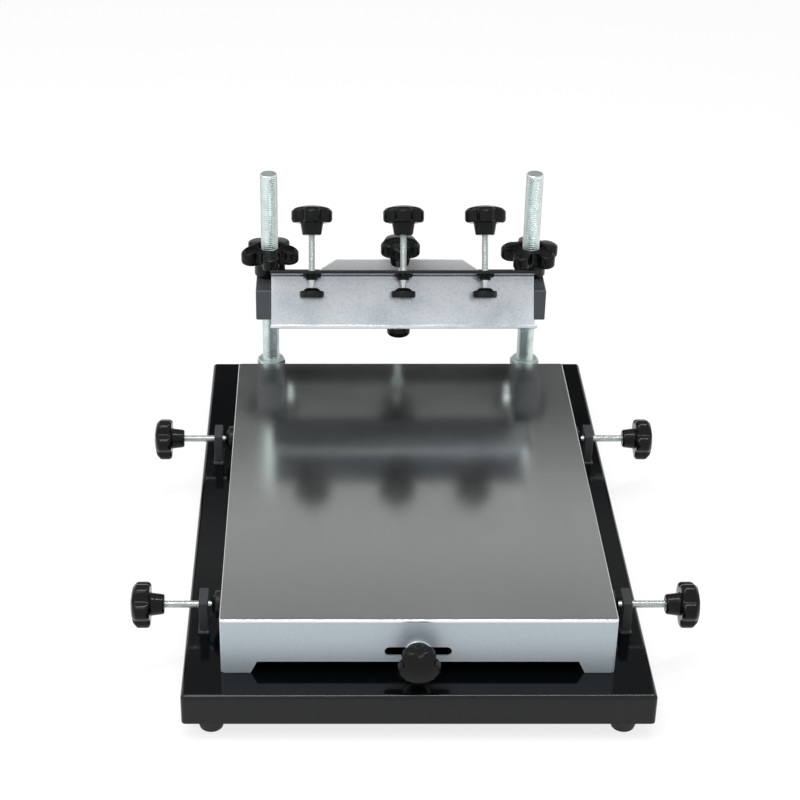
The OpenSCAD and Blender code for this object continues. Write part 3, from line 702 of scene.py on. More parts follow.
    def reshape(self, rule: Rule) -> "Shape":
        """Moves each point in and out from Z and up and down by a rule.

        Args:
            rule: Gives the new radius and height for a radius, an angle and a height, in mm and radians.

        Returns:
            The shape itself.
        """
        for vert in self.bm.verts:
            radius = math.hypot(vert.co.x, vert.co.y)
            if radius > MERGE_M:
                new, height = rule(radius / MM, math.atan2(vert.co.y, vert.co.x), vert.co.z / MM)
                grow = new * MM / radius
                vert.co = (vert.co.x * grow, vert.co.y * grow, height * MM)
        return self

    def moved(self, matrix: Matrix) -> "Shape":
        """Moves the whole shape by a matrix in metres."""
        bmesh.ops.transform(self.bm, matrix=matrix, verts=self.bm.verts)
        return self

    def at(self, x: float, y: float, z: float) -> "Shape":
        """Moves the whole shape by a step in millimetres."""
        return self.moved(Matrix.Translation(Vector((x, y, z)) * MM))

    def join(self, *others: "Shape") -> "Shape":
        """Takes other shapes into this one.

        Args:
            others: The other shapes, which are used up.

        Returns:
            The shape itself.
        """
        for other in others:
            mesh = bpy.data.meshes.new("part")
            other.bm.to_mesh(mesh)
            self.bm.from_mesh(mesh)
            bpy.data.meshes.remove(mesh)
            other.bm.free()
        return self

    def cut(self, *tools: "Shape") -> "Shape":
        """Takes other shapes out of this one.

        Args:
            tools: The other shapes, which are used up.

        Returns:
            The shape itself.
        """
        pair = []
        for shape in (self, Shape().join(*tools)):
            mesh = bpy.data.meshes.new("part")
            shape.bm.to_mesh(mesh)
            pair.append(bpy.data.objects.new("part", mesh))
            bpy.context.scene.collection.objects.link(pair[-1])
        bite = pair[0].modifiers.new("cut", "BOOLEAN")
        bite.operation, bite.solver, bite.object = "DIFFERENCE", "EXACT", pair[1]
        ready = pair[0].evaluated_get(bpy.context.evaluated_depsgraph_get())
        self.bm.clear()
        self.bm.from_mesh(ready.to_mesh())
        ready.to_mesh_clear()
        for item in pair:
            bpy.data.meshes.remove(item.data)
        return self.closed()

    def copy(self) -> "Shape":
        """Makes a second shape like this one.

        Returns:
            The second shape.
        """
        made = Shape()
        made.bm.free()
        made.bm = self.bm.copy()
        return made

    def drawn(self, name: str, material: bpy.types.Material) -> bpy.types.Object:
        """Turns the shape into an object of the scene, and ends the shape.

        Args:
            name: Name of the object.
            material: Its material.

        Returns:
            The new object.
        """
        mesh = bpy.data.meshes.new(name)
        self.bm.to_mesh(mesh)
        self.bm.free()
        mesh.materials.append(material)
        made = bpy.data.objects.new(name, mesh)
        bpy.context.scene.collection.objects.link(made)
        return made


def make_piece(shape: Shape, name: str, finish: Finish, *nodes: str) -> bpy.types.Object:
    """Turns a shape into a dressed piece that stands for its CAD nodes.

    Args:
        shape: The finished shape, in its place in the frame.
        name: Name of the piece.
        finish: What its surface is.
        nodes: CAD nodes that it replaces, all on one body.

    Returns:
        The new object.
    """
    for face in shape.bm.faces:
        face.smooth = True
    for edge in shape.bm.edges:
        edge.smooth = edge.calc_face_angle(0.0) < SHARP_ANGLE
    piece = shape.drawn(name, finish.material())
    flats = piece.modifiers.new("flat_faces", "WEIGHTED_NORMAL")
    flats.keep_sharp = True
    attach(piece, NODE_BODY[nodes[0]])
    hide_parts(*nodes)
    LOG.info("%s: %d faces on %s", name, len(piece.data.polygons), NODE_BODY[nodes[0]])
    return piece


def corners(node: str) -> tuple[Vector, Vector]:
    """Lowest and highest corner of a CAD node at rest, in millimetres."""
    low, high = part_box(node)
    return low / MM, high / MM


def nearest_x(node: str) -> float:
    """Least distance of a CAD node from the middle plane, in millimetres."""
    return min(abs(vert.co.x) for vert in frame["nodes"][node].data.vertices) / MM


@dataclass(frozen=True)
class Axis:
    """A line in the frame that pieces turn on.

    Attributes:
        point: A point on the line, in millimetres.
        along: Direction of the line.
    """

    point: Vector
    along: Vector

    @classmethod
    def of_joint(cls, name: str, flip: bool = False) -> "Axis":
        """Line that a hinge turns on.

        Args:
            name: Name of the hinge.
            flip: Whether the line runs against the hinge's own axis.

        Returns:
            The line.
        """
        joint = JOINTS[name]
        along = Vector(joint["axis"]).normalized()
        return cls(Vector(joint["pos_m"]) / MM, -along if flip else along)

    def span(self, node: str) -> Point:
        """Lowest and highest place of a CAD node along the line, in millimetres."""
        places = [(vert.co / MM - self.point).dot(self.along) for vert in frame["nodes"][node].data.vertices]
        return min(places), max(places)

    def matrix(self, place: float, towards: Vector) -> Matrix:
        """Takes a shape drawn about Z to this line.

        Args:
            place: Where its z = 0 goes along the line, in millimetres.
            towards: Direction that its X axis leans to.

        Returns:
            The matrix, in metres.
        """
        x_axis = (towards - self.along * towards.dot(self.along)).normalized()
        y_axis = self.along.cross(x_axis)
        turned = Matrix((x_axis, y_axis, self.along)).transposed().to_4x4()
        return Matrix.Translation((self.point + self.along * place) * MM) @ turned


@dataclass(frozen=True)
class Star:
    """Outline of lobes and valleys that run smoothly into each other.

    Attributes:
        diameter: Diameter over the lobes.
        lobe_r: Radius of a lobe's tip.
        valley: Distance from the middle to the bottom of a valley.
        lobes: Number of lobes.
    """

    diameter: float
    lobe_r: float
    valley: float
    lobes: int = 5

    def radius(self, angle: float) -> float:
        """Finds the outline.

        Args:
            angle: Angle from the middle of a lobe, in radians.

        Returns:
            Distance from the middle to the outline.
        """
        half = math.pi / self.lobes
        turn = abs((angle + half) % (2 * half) - half)
        lobe_at = self.diameter / 2 - self.lobe_r
        c = math.cos(half)
        cut_r = ((lobe_at ** 2 + self.valley ** 2 - 2 * lobe_at * self.valley * c - self.lobe_r ** 2)
                 / (2 * (self.lobe_r - self.valley + lobe_at * c)))
        cut_at = self.valley + cut_r
        share = self.lobe_r / (self.lobe_r + cut_r)
        meet_x = lobe_at + (cut_at * c - lobe_at) * share
        meet_y = cut_at * math.sin(half) * share
        if turn < math.atan2(meet_y, meet_x):
            return lobe_at * math.cos(turn) + math.sqrt(self.lobe_r ** 2 - (lobe_at * math.sin(turn)) ** 2)
        rest = half - turn
        return cut_at * math.cos(rest) - math.sqrt(cut_r ** 2 - (cut_at * math.sin(rest)) ** 2)

    def rule(self, low: float, inner: float, crown_r: float) -> Rule:
        """Rule that presses a turned and crowned head into the star.

        Args:
            low: Height at which the head starts.
            inner: Radius up to which it stays round.
            crown_r: Radius of the sphere that its top is part of.

        Returns:
            The rule for a shape's points.
        """
        full = self.diameter / 2
        head_low = low - MERGE_M

        def press(radius: float, angle: float, height: float) -> Point:
            """Draws a point of the head in, and lifts its top to the sphere again.

            Args:
                radius: Radius of the point.
                angle: Its angle in radians.
                height: Its height.

            Returns:
                The point's new radius and height.
            """
            if height < head_low or radius <= inner:
                return radius, height
            share = (radius - inner) / (full - inner)
            new = radius - share * (full - self.radius(angle))
            lift = (radius ** 2 - new ** 2) / (2 * crown_r) if height > low + full / 3 else 0.0
            return new, height + lift

        return press


@dataclass(frozen=True)
class HexNut:
    """Hexagon nut or bolt head with its corners chamfered.

    Attributes:
        flats: Width across the flats.
        height: Height of the nut.
        hole: Diameter of its hole; none for a bolt head.
        bite: Share of the flats at which the chamfer starts.
        slope_deg: Slope of the chamfer.
    """

    flats: float
    height: float
    hole: float = 0.0
    bite: float = 0.97
    slope_deg: float = 30.0

    def shape(self) -> Shape:
        """Builds the nut.

        Returns:
            The nut on z = 0.
        """
        inner = self.hole / 2
        bite = self.flats / 2 * self.bite
        out = self.flats
        profile = [(inner, 0.0), (bite, 0.0), (out, 0.0), (out, self.height), (bite, self.height),
                   (inner, self.height)]
        return Shape.lathe(profile, steps=48, ring=inner > 0).reshape(self.rule)

    def rule(self, radius: float, angle: float, height: float) -> Point:
        """Brings the outer points to the hexagon and moves them to the chamfer.

        Args:
            radius: Radius of a point.
            angle: Its angle in radians.
            height: Its height.

        Returns:
            The point's new radius and height.
        """
        if radius < self.flats * self.bite:
            return radius, height
        sector = math.pi / 3
        new = self.flats / 2 / math.cos((angle + sector / 2) % sector - sector / 2)
        drop = (new - self.flats / 2 * self.bite) * math.tan(math.radians(self.slope_deg))
        return new, height + (-drop if height > self.height / 2 else drop)


def weld_bead(start: Vector, end: Vector, radius: float, pitch: float = 1.7) -> Shape:
    """Row of overlapping weld ripples.

    Args:
        start: First ripple's middle, in millimetres.
        end: Last ripple's middle.
        radius: Radius of a ripple.
        pitch: Distance between ripples.

    Returns:
        The bead.
    """
    made = Shape()
    swell, beat = 0.16, 2.4  # how much the ripples differ in size, and how fast
    count = max(1, round((end - start).length / pitch))
    for i in range(count + 1):
        place = start.lerp(end, i / count)
        size = radius * (1.0 + swell * math.sin(beat * i + start.x))
        bmesh.ops.create_icosphere(made.bm, subdivisions=2, radius=size * MM, matrix=Matrix.Translation(place * MM))
    return made


@dataclass(frozen=True)
class Base:
    """Folded tray on rubber feet, with the brackets welded to it.

    Attributes:
        sheet: Thickness of the tray's sheet.
        bend: Outside radius of its bends.
        lip: Width of the lips under its front and rear.
        foot_edge: Radius of a foot's edges.
        foot_tip: Radius of a foot at the bench.
        foot_bores: Radius of a foot's hole, and of the pocket for the screw's head.
        foot_nut: Width across the flats and hole of a foot's nut.
        pan_head: Half outline of a foot screw's head, down to its shank.
        angle_wall: Thickness of the angle under the table.
        weld_nut: Width across the flats and hole of the angle's nut.
        bracket_edge: Radius of a bracket's edges.
        weld: Radius of a weld ripple.
    """

    sheet: float = 2.0
    bend: float = 3.5
    lip: float = 36.0
    foot_edge: float = 1.4
    foot_tip: float = 9.25
    foot_bores: Point = (2.6, 5.4)
    foot_nut: Point = (8.0, 5.1)
    pan_head: tuple[Point, ...] = ((0.0, 0.4), (1.6, 0.2), (3.4, 0.6), (4.4, 1.6), (4.7, 2.9), (2.4, 3.0))
    angle_wall: float = 4.0
    weld_nut: Point = (10.0, 6.2)
    bracket_edge: float = 0.45
    weld: float = 1.9

    def build(self) -> None:
        """Makes all the pieces of the base."""
        self.tray()
        self.feet()
        self.brackets()
        self.nut_bracket()

    def tray(self) -> None:
        """Makes the tray: a bent sheet, open below, with a flat lip at each end."""
        low, high = corners("base_tray")
        bend_steps, lip_edge = 7, 0.4
        made = Shape.raw_box(low, high)
        floor = [face for face in made.bm.faces if face.normal.z < -FACING]
        bmesh.ops.delete(made.bm, geom=floor, context="FACES_ONLY")
        bends = [edge for edge in made.bm.edges if not edge.is_boundary]
        made.bevel(bends, self.bend, bend_steps).thicken(self.sheet)
        inside = low.x + self.sheet, high.x - self.sheet
        for y_low, y_high in ((low.y + self.sheet, low.y + self.lip), (high.y - self.lip, high.y - self.sheet)):
            made.join(Shape.box((inside[0], y_low, low.z), (inside[1], y_high, low.z + self.sheet), lip_edge))
        make_piece(made, "base_tray_folded", ENAMEL, "base_tray")

    def foot_places(self) -> list[Point]:
        """Finds the feet.

        Returns:
            Middles of the four feet.
        """
        low, high = corners("rubber_feet")
        radius = self.foot_radius()
        return [(x, y) for x in (low.x + radius, high.x - radius) for y in (low.y + radius, high.y - radius)]

    def foot_radius(self) -> float:
        """Finds the radius of a foot at its top from the left feet.

        Returns:
            The radius.
        """
        low = corners("rubber_feet")[0]
        near = [vert.co.x / MM for vert in frame["nodes"]["rubber_feet"].data.vertices if vert.co.x < 0]
        return (max(near) - low.x) / 2

    def feet(self) -> None:
        """Makes the feet, and the screws and nuts that hold them."""
        low, high = corners("rubber_feet")
        nut_low, nut_high = corners("foot_nuts")
        screw_low, screw_high = corners("foot_screws")
        tall, wide, length = high.z - low.z, self.foot_radius(), screw_high.z - screw_low.z
        tip, e, rim, lead = self.foot_tip, self.foot_edge, 0.8, 0.6
        bore, pocket = self.foot_bores
        profile = [(bore, tall / 2), (pocket, tall / 2), (pocket, lead), (pocket + lead, 0.0), (tip - e, 0.0),
                   *arc((tip - e, e), e, -80, 0), *arc((wide - rim, tall - rim), rim, 0, 80), (bore, tall)]
        screw = [*self.pan_head, (self.pan_head[-1][0], length), (0.0, length)]
        flats, hole = self.foot_nut
        rubber, heads, nuts = Shape(), Shape(), Shape()
        for x, y in self.foot_places():
            rubber.join(Shape.lathe(profile, steps=48, ring=True).at(x, y, low.z))
            heads.join(Shape.lathe(screw, steps=32).at(x, y, screw_low.z))
            nuts.join(HexNut(flats, nut_high.z - nut_low.z, hole).shape().at(x, y, nut_low.z))
        make_piece(rubber, "rubber_feet_moulded", RUBBER, "rubber_feet")
        make_piece(heads, "foot_screws_pan_head", ZINC, "foot_screws")
        make_piece(nuts, "foot_nuts_hexagon", ZINC, "foot_nuts")

    def brackets(self) -> None:
        """Makes the side brackets with the welds at their feet."""
        low, high = corners("side_brackets")
        plates, beads = Shape(), Shape()
        rows = [Axis.of_joint(f"left_{row}_screw_spin").point.y for row in ("front", "rear")]
        inner = nearest_x("side_brackets")
        half = rows[0] - low.y
        inset, end_z, side_z, thin = 0.6, low.z + 0.5, low.z + 0.3, 0.7
        for side in Side:
            x_near, x_far = sorted((side.value * inner, side.value * high.x))
            for y in rows:
                plates.join(Shape.box((x_near, y - half, low.z), (x_far, y + half, high.z), self.bracket_edge, 3))
                for y_end in (y - half, y + half):
                    ends = Vector((x_near + inset, y_end, end_z)), Vector((x_far - inset, y_end, end_z))
                    beads.join(weld_bead(*ends, self.weld))
                for x_face in (x_near, x_far):
                    ends = Vector((x_face, y - half, side_z)), Vector((x_face, y + half, side_z))
                    beads.join(weld_bead(*ends, self.weld * thin))
        make_piece(plates.join(beads), "side_brackets_welded", SATIN, "side_brackets")

    def nut_bracket(self) -> None:
        """Makes the angle under the table and its weld nut."""
        low, high = corners("front_nut_bracket")
        made = Shape.box(low, (high.x, low.y + self.angle_wall, high.z))
        made.join(Shape.box(low, (high.x, high.y, low.z + self.angle_wall)))
        make_piece(made, "front_nut_bracket_angle", ENAMEL, "front_nut_bracket")
        low, high = corners("front_weld_nut")
        axis = Axis.of_joint("front_screw_spin")
        flats, hole = self.weld_nut
        nut = HexNut(flats, high.y - low.y, hole).shape().moved(axis.matrix(axis.span("front_weld_nut")[0], UP))
        make_piece(nut, "front_weld_nut_hexagon", ZINC, "front_weld_nut")


@dataclass(frozen=True)
class Columns:
    """Threaded columns and the nuts and washers that hold them to the tray.

    Attributes:
        pitch: Rise of the column thread in one turn.
        chamfer: Length of the chamfer on a column's ends.
        flats: Width across the flats of the nuts.
        jam_turn: How far the jam nuts are turned against the nuts, in degrees.
        washer_h: Thickness of the washers.
        washer_edge: Chamfer of the washers.
        washer_room: Room between a washer and its column.
    """

    pitch: float = 2.0
    chamfer: float = 0.8
    flats: float = 24.0
    jam_turn: float = 18.0
    washer_h: float = 3.0
    washer_edge: float = 0.5
    washer_room: float = 0.5

    def build(self) -> None:
        """Makes both columns and their fasteners."""
        low, high = corners("left_column")
        radius = (high.x - low.x) / 2
        self.bars(radius, low.z, high.z - low.z)
        self.nuts(2 * radius)
        self.washers(radius + self.washer_room)

    def bars(self, radius: float, low: float, length: float) -> None:
        """Makes both columns.

        Args:
            radius: Radius over the crests of the thread.
            low: Height of the lower end.
            length: Length of a column.
        """
        steps, deep = 28, self.chamfer + 1
        bar = Shape.thread(radius, self.pitch, length - 2 * self.chamfer, steps).at(0, 0, self.chamfer)
        root = radius - Shape.THREAD_DEPTH * self.pitch
        face, edge, inside = root + 0.2, root + 0.6, root + 0.4
        tip = [(0.0, 0.0), (face, 0.0), (edge, 0.5), (inside, deep), (0.0, deep)]
        bar.join(Shape.lathe(tip, steps), Shape.lathe([(r, length - z) for r, z in tip], steps))
        for side, (x, y) in zip(Side, self.places()):
            node = f"{side.word}_column"
            make_piece(bar.copy().at(x, y, low), f"{node}_threaded", ZINC, node)
        bar.bm.free()

    def nuts(self, hole: float) -> None:
        """Makes the nuts on and under the deck.

        Args:
            hole: Diameter of their holes.
        """
        for node, turn in (("column_nuts", 0.0), ("column_jam_nuts", self.jam_turn), ("column_under_nuts", 0.0)):
            low, high = corners(node)
            made = Shape()
            for x, y in self.places():
                nut = HexNut(self.flats, high.z - low.z, hole).shape()
                made.join(nut.moved(Matrix.Rotation(math.radians(turn), 4, "Z")).at(x, y, low.z))
            make_piece(made, f"{node}_hexagon", ZINC, node)

    def places(self) -> list[Point]:
        """Middles of the two columns."""
        middles = [sum(corners(f"{side.word}_column"), Vector()) / 2 for side in Side]
        return [(middle.x, middle.y) for middle in middles]

    def washers(self, hole: float) -> None:
        """Makes the washers on and under the deck.

        Args:
            hole: Radius of their holes.
        """
        low, high = corners("column_washers")
        wide = (high.y - low.y) / 2
        made = Shape()
        for x, y in self.places():
            for z in (low.z, high.z - self.washer_h):
                made.join(Shape.washer(hole, wide, self.washer_h, self.washer_edge).at(x, y, z))
        make_piece(made, "column_washers_turned", ZINC, "column_washers")


@dataclass(frozen=True)
class Table:
    """Registration table: a folded shell on corner legs and its polished top.

    Attributes:
        sheet: Thickness of the shell's sheet.
        corner: Radius of its upright corners.
        slot_w: Length of the slot for the front screw.
        slot_h: Height of that slot.
        notch_w: Width of the cut-out between the legs.
        notch_h: Height of that cut-out.
        notch_flare: How far its ends flare towards the feet.
        top_edge: Radius of the top plate's edges.
        corner_steps: Steps round an upright corner.
        edge_steps: Steps round an edge of the top plate.
    """

    sheet: float = 2.0
    corner: float = 2.6
    slot_w: float = 51.5
    slot_h: float = 8.5
    notch_w: float = 246.0
    notch_h: float = 10.5
    notch_flare: float = 5.0
    top_edge: float = 0.9
    corner_steps: int = 5
    edge_steps: int = 4

    def build(self) -> None:
        """Makes the shell and the top plate."""
        self.shell()
        self.top()

    def front_outline(self, low: Vector, high: Vector) -> list[Point]:
        """Draws the front wall with the cut-out between its legs.

        Args:
            low: Lowest corner of the shell.
            high: Its highest corner.

        Returns:
            The outline, as X and Z.
        """
        foot, top = self.notch_w / 2 + self.notch_flare, self.notch_w / 2
        return [(low.x, low.z), (-foot, low.z), (-top, low.z + self.notch_h), (top, low.z + self.notch_h),
                (foot, low.z), (high.x, low.z), (high.x, high.z), (low.x, high.z)]

    def shell(self) -> None:
        """Makes the shell from its front wall, drawn out to the rear and opened below."""
        low, high = corners("table_shell")
        screw_z = Axis.of_joint("front_screw_spin").point.z
        r, reach = self.slot_h / 2, self.slot_w / 2 - self.slot_h / 2
        slot = arc((reach, screw_z), r, -90, 90, 10) + arc((-reach, screw_z), r, 90, 270, 10)
        made = Shape()
        edges = []
        for loop in (self.front_outline(low, high), slot):
            verts = [made.bm.verts.new((x * MM, low.y * MM, z * MM)) for x, z in loop]
            edges += [made.bm.edges.new(pair) for pair in zip(verts, verts[1:] + verts[:1])]
        front = bmesh.ops.triangle_fill(made.bm, edges=edges, use_beauty=True, normal=FRONT)["geom"]
        front = [item for item in front if isinstance(item, bmesh.types.BMFace)]
        rear = bmesh.ops.extrude_face_region(made.bm, geom=front)["geom"]
        bmesh.ops.translate(made.bm, vec=(0, (high.y - low.y) * MM, 0),
                            verts=[item for item in rear if isinstance(item, bmesh.types.BMVert)])
        bmesh.ops.recalc_face_normals(made.bm, faces=made.bm.faces)
        self.open_up(made, low, high)
        uprights = [edge for edge in made.bm.edges if self.is_upright(edge, low, high)]
        made.bevel(uprights, self.corner, self.corner_steps).thicken(self.sheet)
        make_piece(made, "table_shell_folded", SILVER, "table_shell")

    def open_up(self, made: Shape, low: Vector, high: Vector) -> None:
        """Takes the slot's tunnel, the cut-out and the underside out of a drawn shell.

        Args:
            made: The shell.
            low: Its lowest corner.
            high: Its highest corner.
        """
        inner, above = (high.x - self.corner) * MM, (low.z + self.notch_h + 1) * MM
        spare = []
        for face in made.bm.faces:
            middle = face.calc_center_median()
            across = abs(face.normal.y) < FACING
            if across and abs(middle.x) < inner and middle.z < (high.z - self.sheet) * MM:
                spare.append(face)
        bmesh.ops.delete(made.bm, geom=spare, context="FACES")
        rear_slot = [edge for edge in made.bm.edges if edge.is_boundary and all(
            abs(v.co.x) < self.slot_w * MM and v.co.z > above and v.co.y > 0
            for v in edge.verts)]
        bmesh.ops.holes_fill(made.bm, edges=rear_slot, sides=0)

    def is_upright(self, edge: bmesh.types.BMEdge, low: Vector, high: Vector) -> bool:
        """Tells the shell's four upright corners from its other edges.

        Args:
            edge: An edge of the shell.
            low: Lowest corner of the shell.
            high: Its highest corner.

        Returns:
            Whether the edge is an upright corner.
        """
        least = 1.0
        ends = [vert.co / MM for vert in edge.verts]
        at_corner = all(min(abs(p.x - low.x), abs(p.x - high.x)) < NEAR_MM
                        and min(abs(p.y - low.y), abs(p.y - high.y)) < NEAR_MM for p in ends)
        return at_corner and abs(ends[0].z - ends[1].z) > least

    def top(self) -> None:
        """Makes the top plate with its corners and upper edges rounded."""
        low, high = corners("table_top_plate")
        made = Shape.raw_box(low, high)
        uprights = [edge for edge in made.bm.edges if abs((edge.verts[0].co - edge.verts[1].co).z) > MERGE_M]
        made.bevel(uprights, self.corner, self.corner_steps)
        rim = [edge for edge in made.bm.edges if all(vert.co.z > (high.z - NEAR_MM) * MM for vert in edge.verts)]
        made.bevel(rim, self.top_edge, self.edge_steps)
        make_piece(made, "table_top_polished", SHEET, "table_top_plate")


@dataclass(frozen=True)
class HandScrew:
    """Star knob on a threaded stud, and the swivel pad that the stud presses with.

    Attributes:
        star: Outline of the knob's head.
        head_h: Thickness of the head at its middle.
        crown_r: Radius of the sphere that the head's top is part of.
        hub_h: Length of the hub.
        hub_end: Radius of the hub at its end.
        hub_root: Radius of the hub at the head.
        screw_r: Radius of the stud's thread.
        pitch: Rise of the stud's thread in one turn.
        pad_r: Radius of the pad.
        pad_disc: Thickness of the pad's disc.
        pad_h: Height of the pad with its dome.
        pad_hub: Radius of the pad's dome.
        neck_r: Radius of the stud's neck above the ball.
        taper: Length of the stud's taper.
        stud_in: Depth of the stud in the knob.
        front_share: Size of the front knob against the others.
        hub_edge: Radius of the edge at the hub's end.
        head_edges: Radius of the head's rear and front edges.
        pad_edges: Radius of the pad's lower and upper edges.
        ring_edge: Chamfer of the front washer and collar.
        ring_room: Room between these and the screw.
    """

    star: Star = Star(38.0, 8.0, 14.8)
    head_h: float = 16.0
    crown_r: float = 45.0
    hub_h: float = 11.0
    hub_end: float = 8.1
    hub_root: float = 9.1
    screw_r: float = 3.0
    pitch: float = 1.0
    pad_r: float = 11.0
    pad_disc: float = 6.2
    pad_h: float = 9.0
    pad_hub: float = 7.3
    neck_r: float = 2.1
    taper: float = 4.0
    stud_in: float = 9.0
    front_share: float = 0.9
    hub_edge: float = 1.9
    head_edges: Point = (3.2, 2.8)
    pad_edges: Point = (1.8, 1.2)
    ring_edge: float = 0.3
    ring_room: float = 0.05

    def knob(self) -> Shape:
        """Builds the knob.

        Returns:
            The knob, from the end of its hub on z = 0 to its crown.
        """
        full, top = self.star.diameter / 2, self.hub_h + self.head_h
        rear, front = self.head_edges
        end, fillet, dish, flat, shoulder, steps = self.hub_edge, 1.2, 0.6, 2.0, 1.5, 7
        rim = top - full ** 2 / (2 * self.crown_r) - front
        crown = [(full - front) * i / steps for i in range(steps, -1, -1)]
        profile = [(0.0, dish), (self.screw_r + dish, 0.0), (self.hub_end - end, 0.0),
                   *arc((self.hub_end - end, end), end, -80, 0, 6),
                   *arc((self.hub_root + fillet, self.hub_h - fillet), fillet, 180, 90, 3),
                   (full - rear - flat, self.hub_h), *arc((full - rear, self.hub_h + rear), rear, -90, 0, 5),
                   (full, rim), *arc((full - front, rim), front, 10, 62, 4),
                   *((r, top - r ** 2 / (2 * self.crown_r)) for r in crown)]
        rule = self.star.rule(self.hub_h, self.hub_root + shoulder, self.crown_r)
        return Shape.lathe(profile, steps=120).reshape(rule)

    def stud(self, length: float) -> Shape:
        """Builds the stud from inside the pad to inside the knob.

        Args:
            length: Distance from the pad's face to the end of the knob's hub.

        Returns:
            The stud, with the pad's face on z = 0.
        """
        start, seat, rise = self.pad_h + self.taper, self.pad_h - 2.0, self.pad_h + 0.3
        lead, under, cover = 0.5, 0.1, 1.0
        root = self.screw_r - Shape.THREAD_DEPTH * self.pitch
        neck = [(0.0, seat), (self.neck_r, seat), (self.neck_r, rise), (self.screw_r - under, start - lead),
                (root, start), (root, start + cover), (0.0, start + cover)]
        bar = Shape.thread(self.screw_r, self.pitch, length + self.stud_in - start, 16).at(0, 0, start)
        return bar.join(Shape.lathe(neck, steps=32))

    def pad(self) -> Shape:
        """Builds the pad.

        Returns:
            The pad with its face on z = 0.
        """
        foot, e = self.pad_edges
        dish, fillet, inner, socket = 0.3, 1.0, self.pad_r - 3.0, self.pad_h - 0.8
        profile = [(0.0, dish), (inner - 0.6, dish), (inner, 0.0), (self.pad_r - foot, 0.0),
                   *arc((self.pad_r - foot, foot), foot, -80, 0, 5),
                   *arc((self.pad_r - e, self.pad_disc - e), e, 0, 80, 4), (self.pad_hub + 1.4, self.pad_disc),
                   *arc((self.pad_hub + fillet, self.pad_disc + fillet), fillet, 270, 190, 3),
                   (self.pad_hub - 1.2, socket), (self.pad_hub - 2.6, self.pad_h - 0.15),
                   (self.neck_r + 0.5, self.pad_h), (self.neck_r + 0.4, socket), (0.0, socket)]
        return Shape.lathe(profile, steps=64)

    def build(self, key: str, spin: str, lobe: Vector, flip: bool = True) -> None:
        """Makes one set: pad, stud and knob.

        Args:
            key: First words of the names of its nodes.
            spin: Name of its hinge.
            lobe: Direction that a lobe of its knob points to.
            flip: Whether the knob stands against the hinge's own axis.
        """
        axis = Axis.of_joint(spin, flip)
        face = axis.span(f"{key}_pad")[0]
        hub = axis.span(f"{key}_knob")[0]
        make_piece(self.pad().moved(axis.matrix(face, lobe)), f"{key}_pad_swivel", PAD_PLASTIC, f"{key}_pad")
        make_piece(self.stud(hub - face).moved(axis.matrix(face, lobe)), f"{key}_screw_threaded", BRIGHT,
                   f"{key}_screw")
        make_piece(self.knob().moved(axis.matrix(hub, lobe)), f"{key}_knob_star", PLASTIC, f"{key}_knob")

    def build_front(self, lobe: Vector) -> None:
        """Makes the front screw with its washer and collar, which pull the table.

        Args:
            lobe: Direction that a lobe of its knob points to.
        """
        axis = Axis.of_joint("front_screw_spin", True)
        low, high = axis.span("front_screw")
        hub = axis.span("front_knob")[0]
        bar = Shape.thread(self.screw_r, self.pitch, high - low, 16)
        make_piece(bar.moved(axis.matrix(low, lobe)), "front_screw_threaded", BRIGHT, "front_screw")
        knob = self.knob().moved(axis.matrix(hub, lobe) @ Matrix.Scale(self.front_share, 4))
        make_piece(knob, "front_knob_star", PLASTIC, "front_knob")
        for node in ("front_washer", "front_collar"):
            start, end = axis.span(node)
            ring = Shape.washer(self.screw_r + self.ring_room, corners(node)[1].x, end - start, self.ring_edge)
            make_piece(ring.moved(axis.matrix(start, lobe)), f"{node}_turned", ZINC, node)


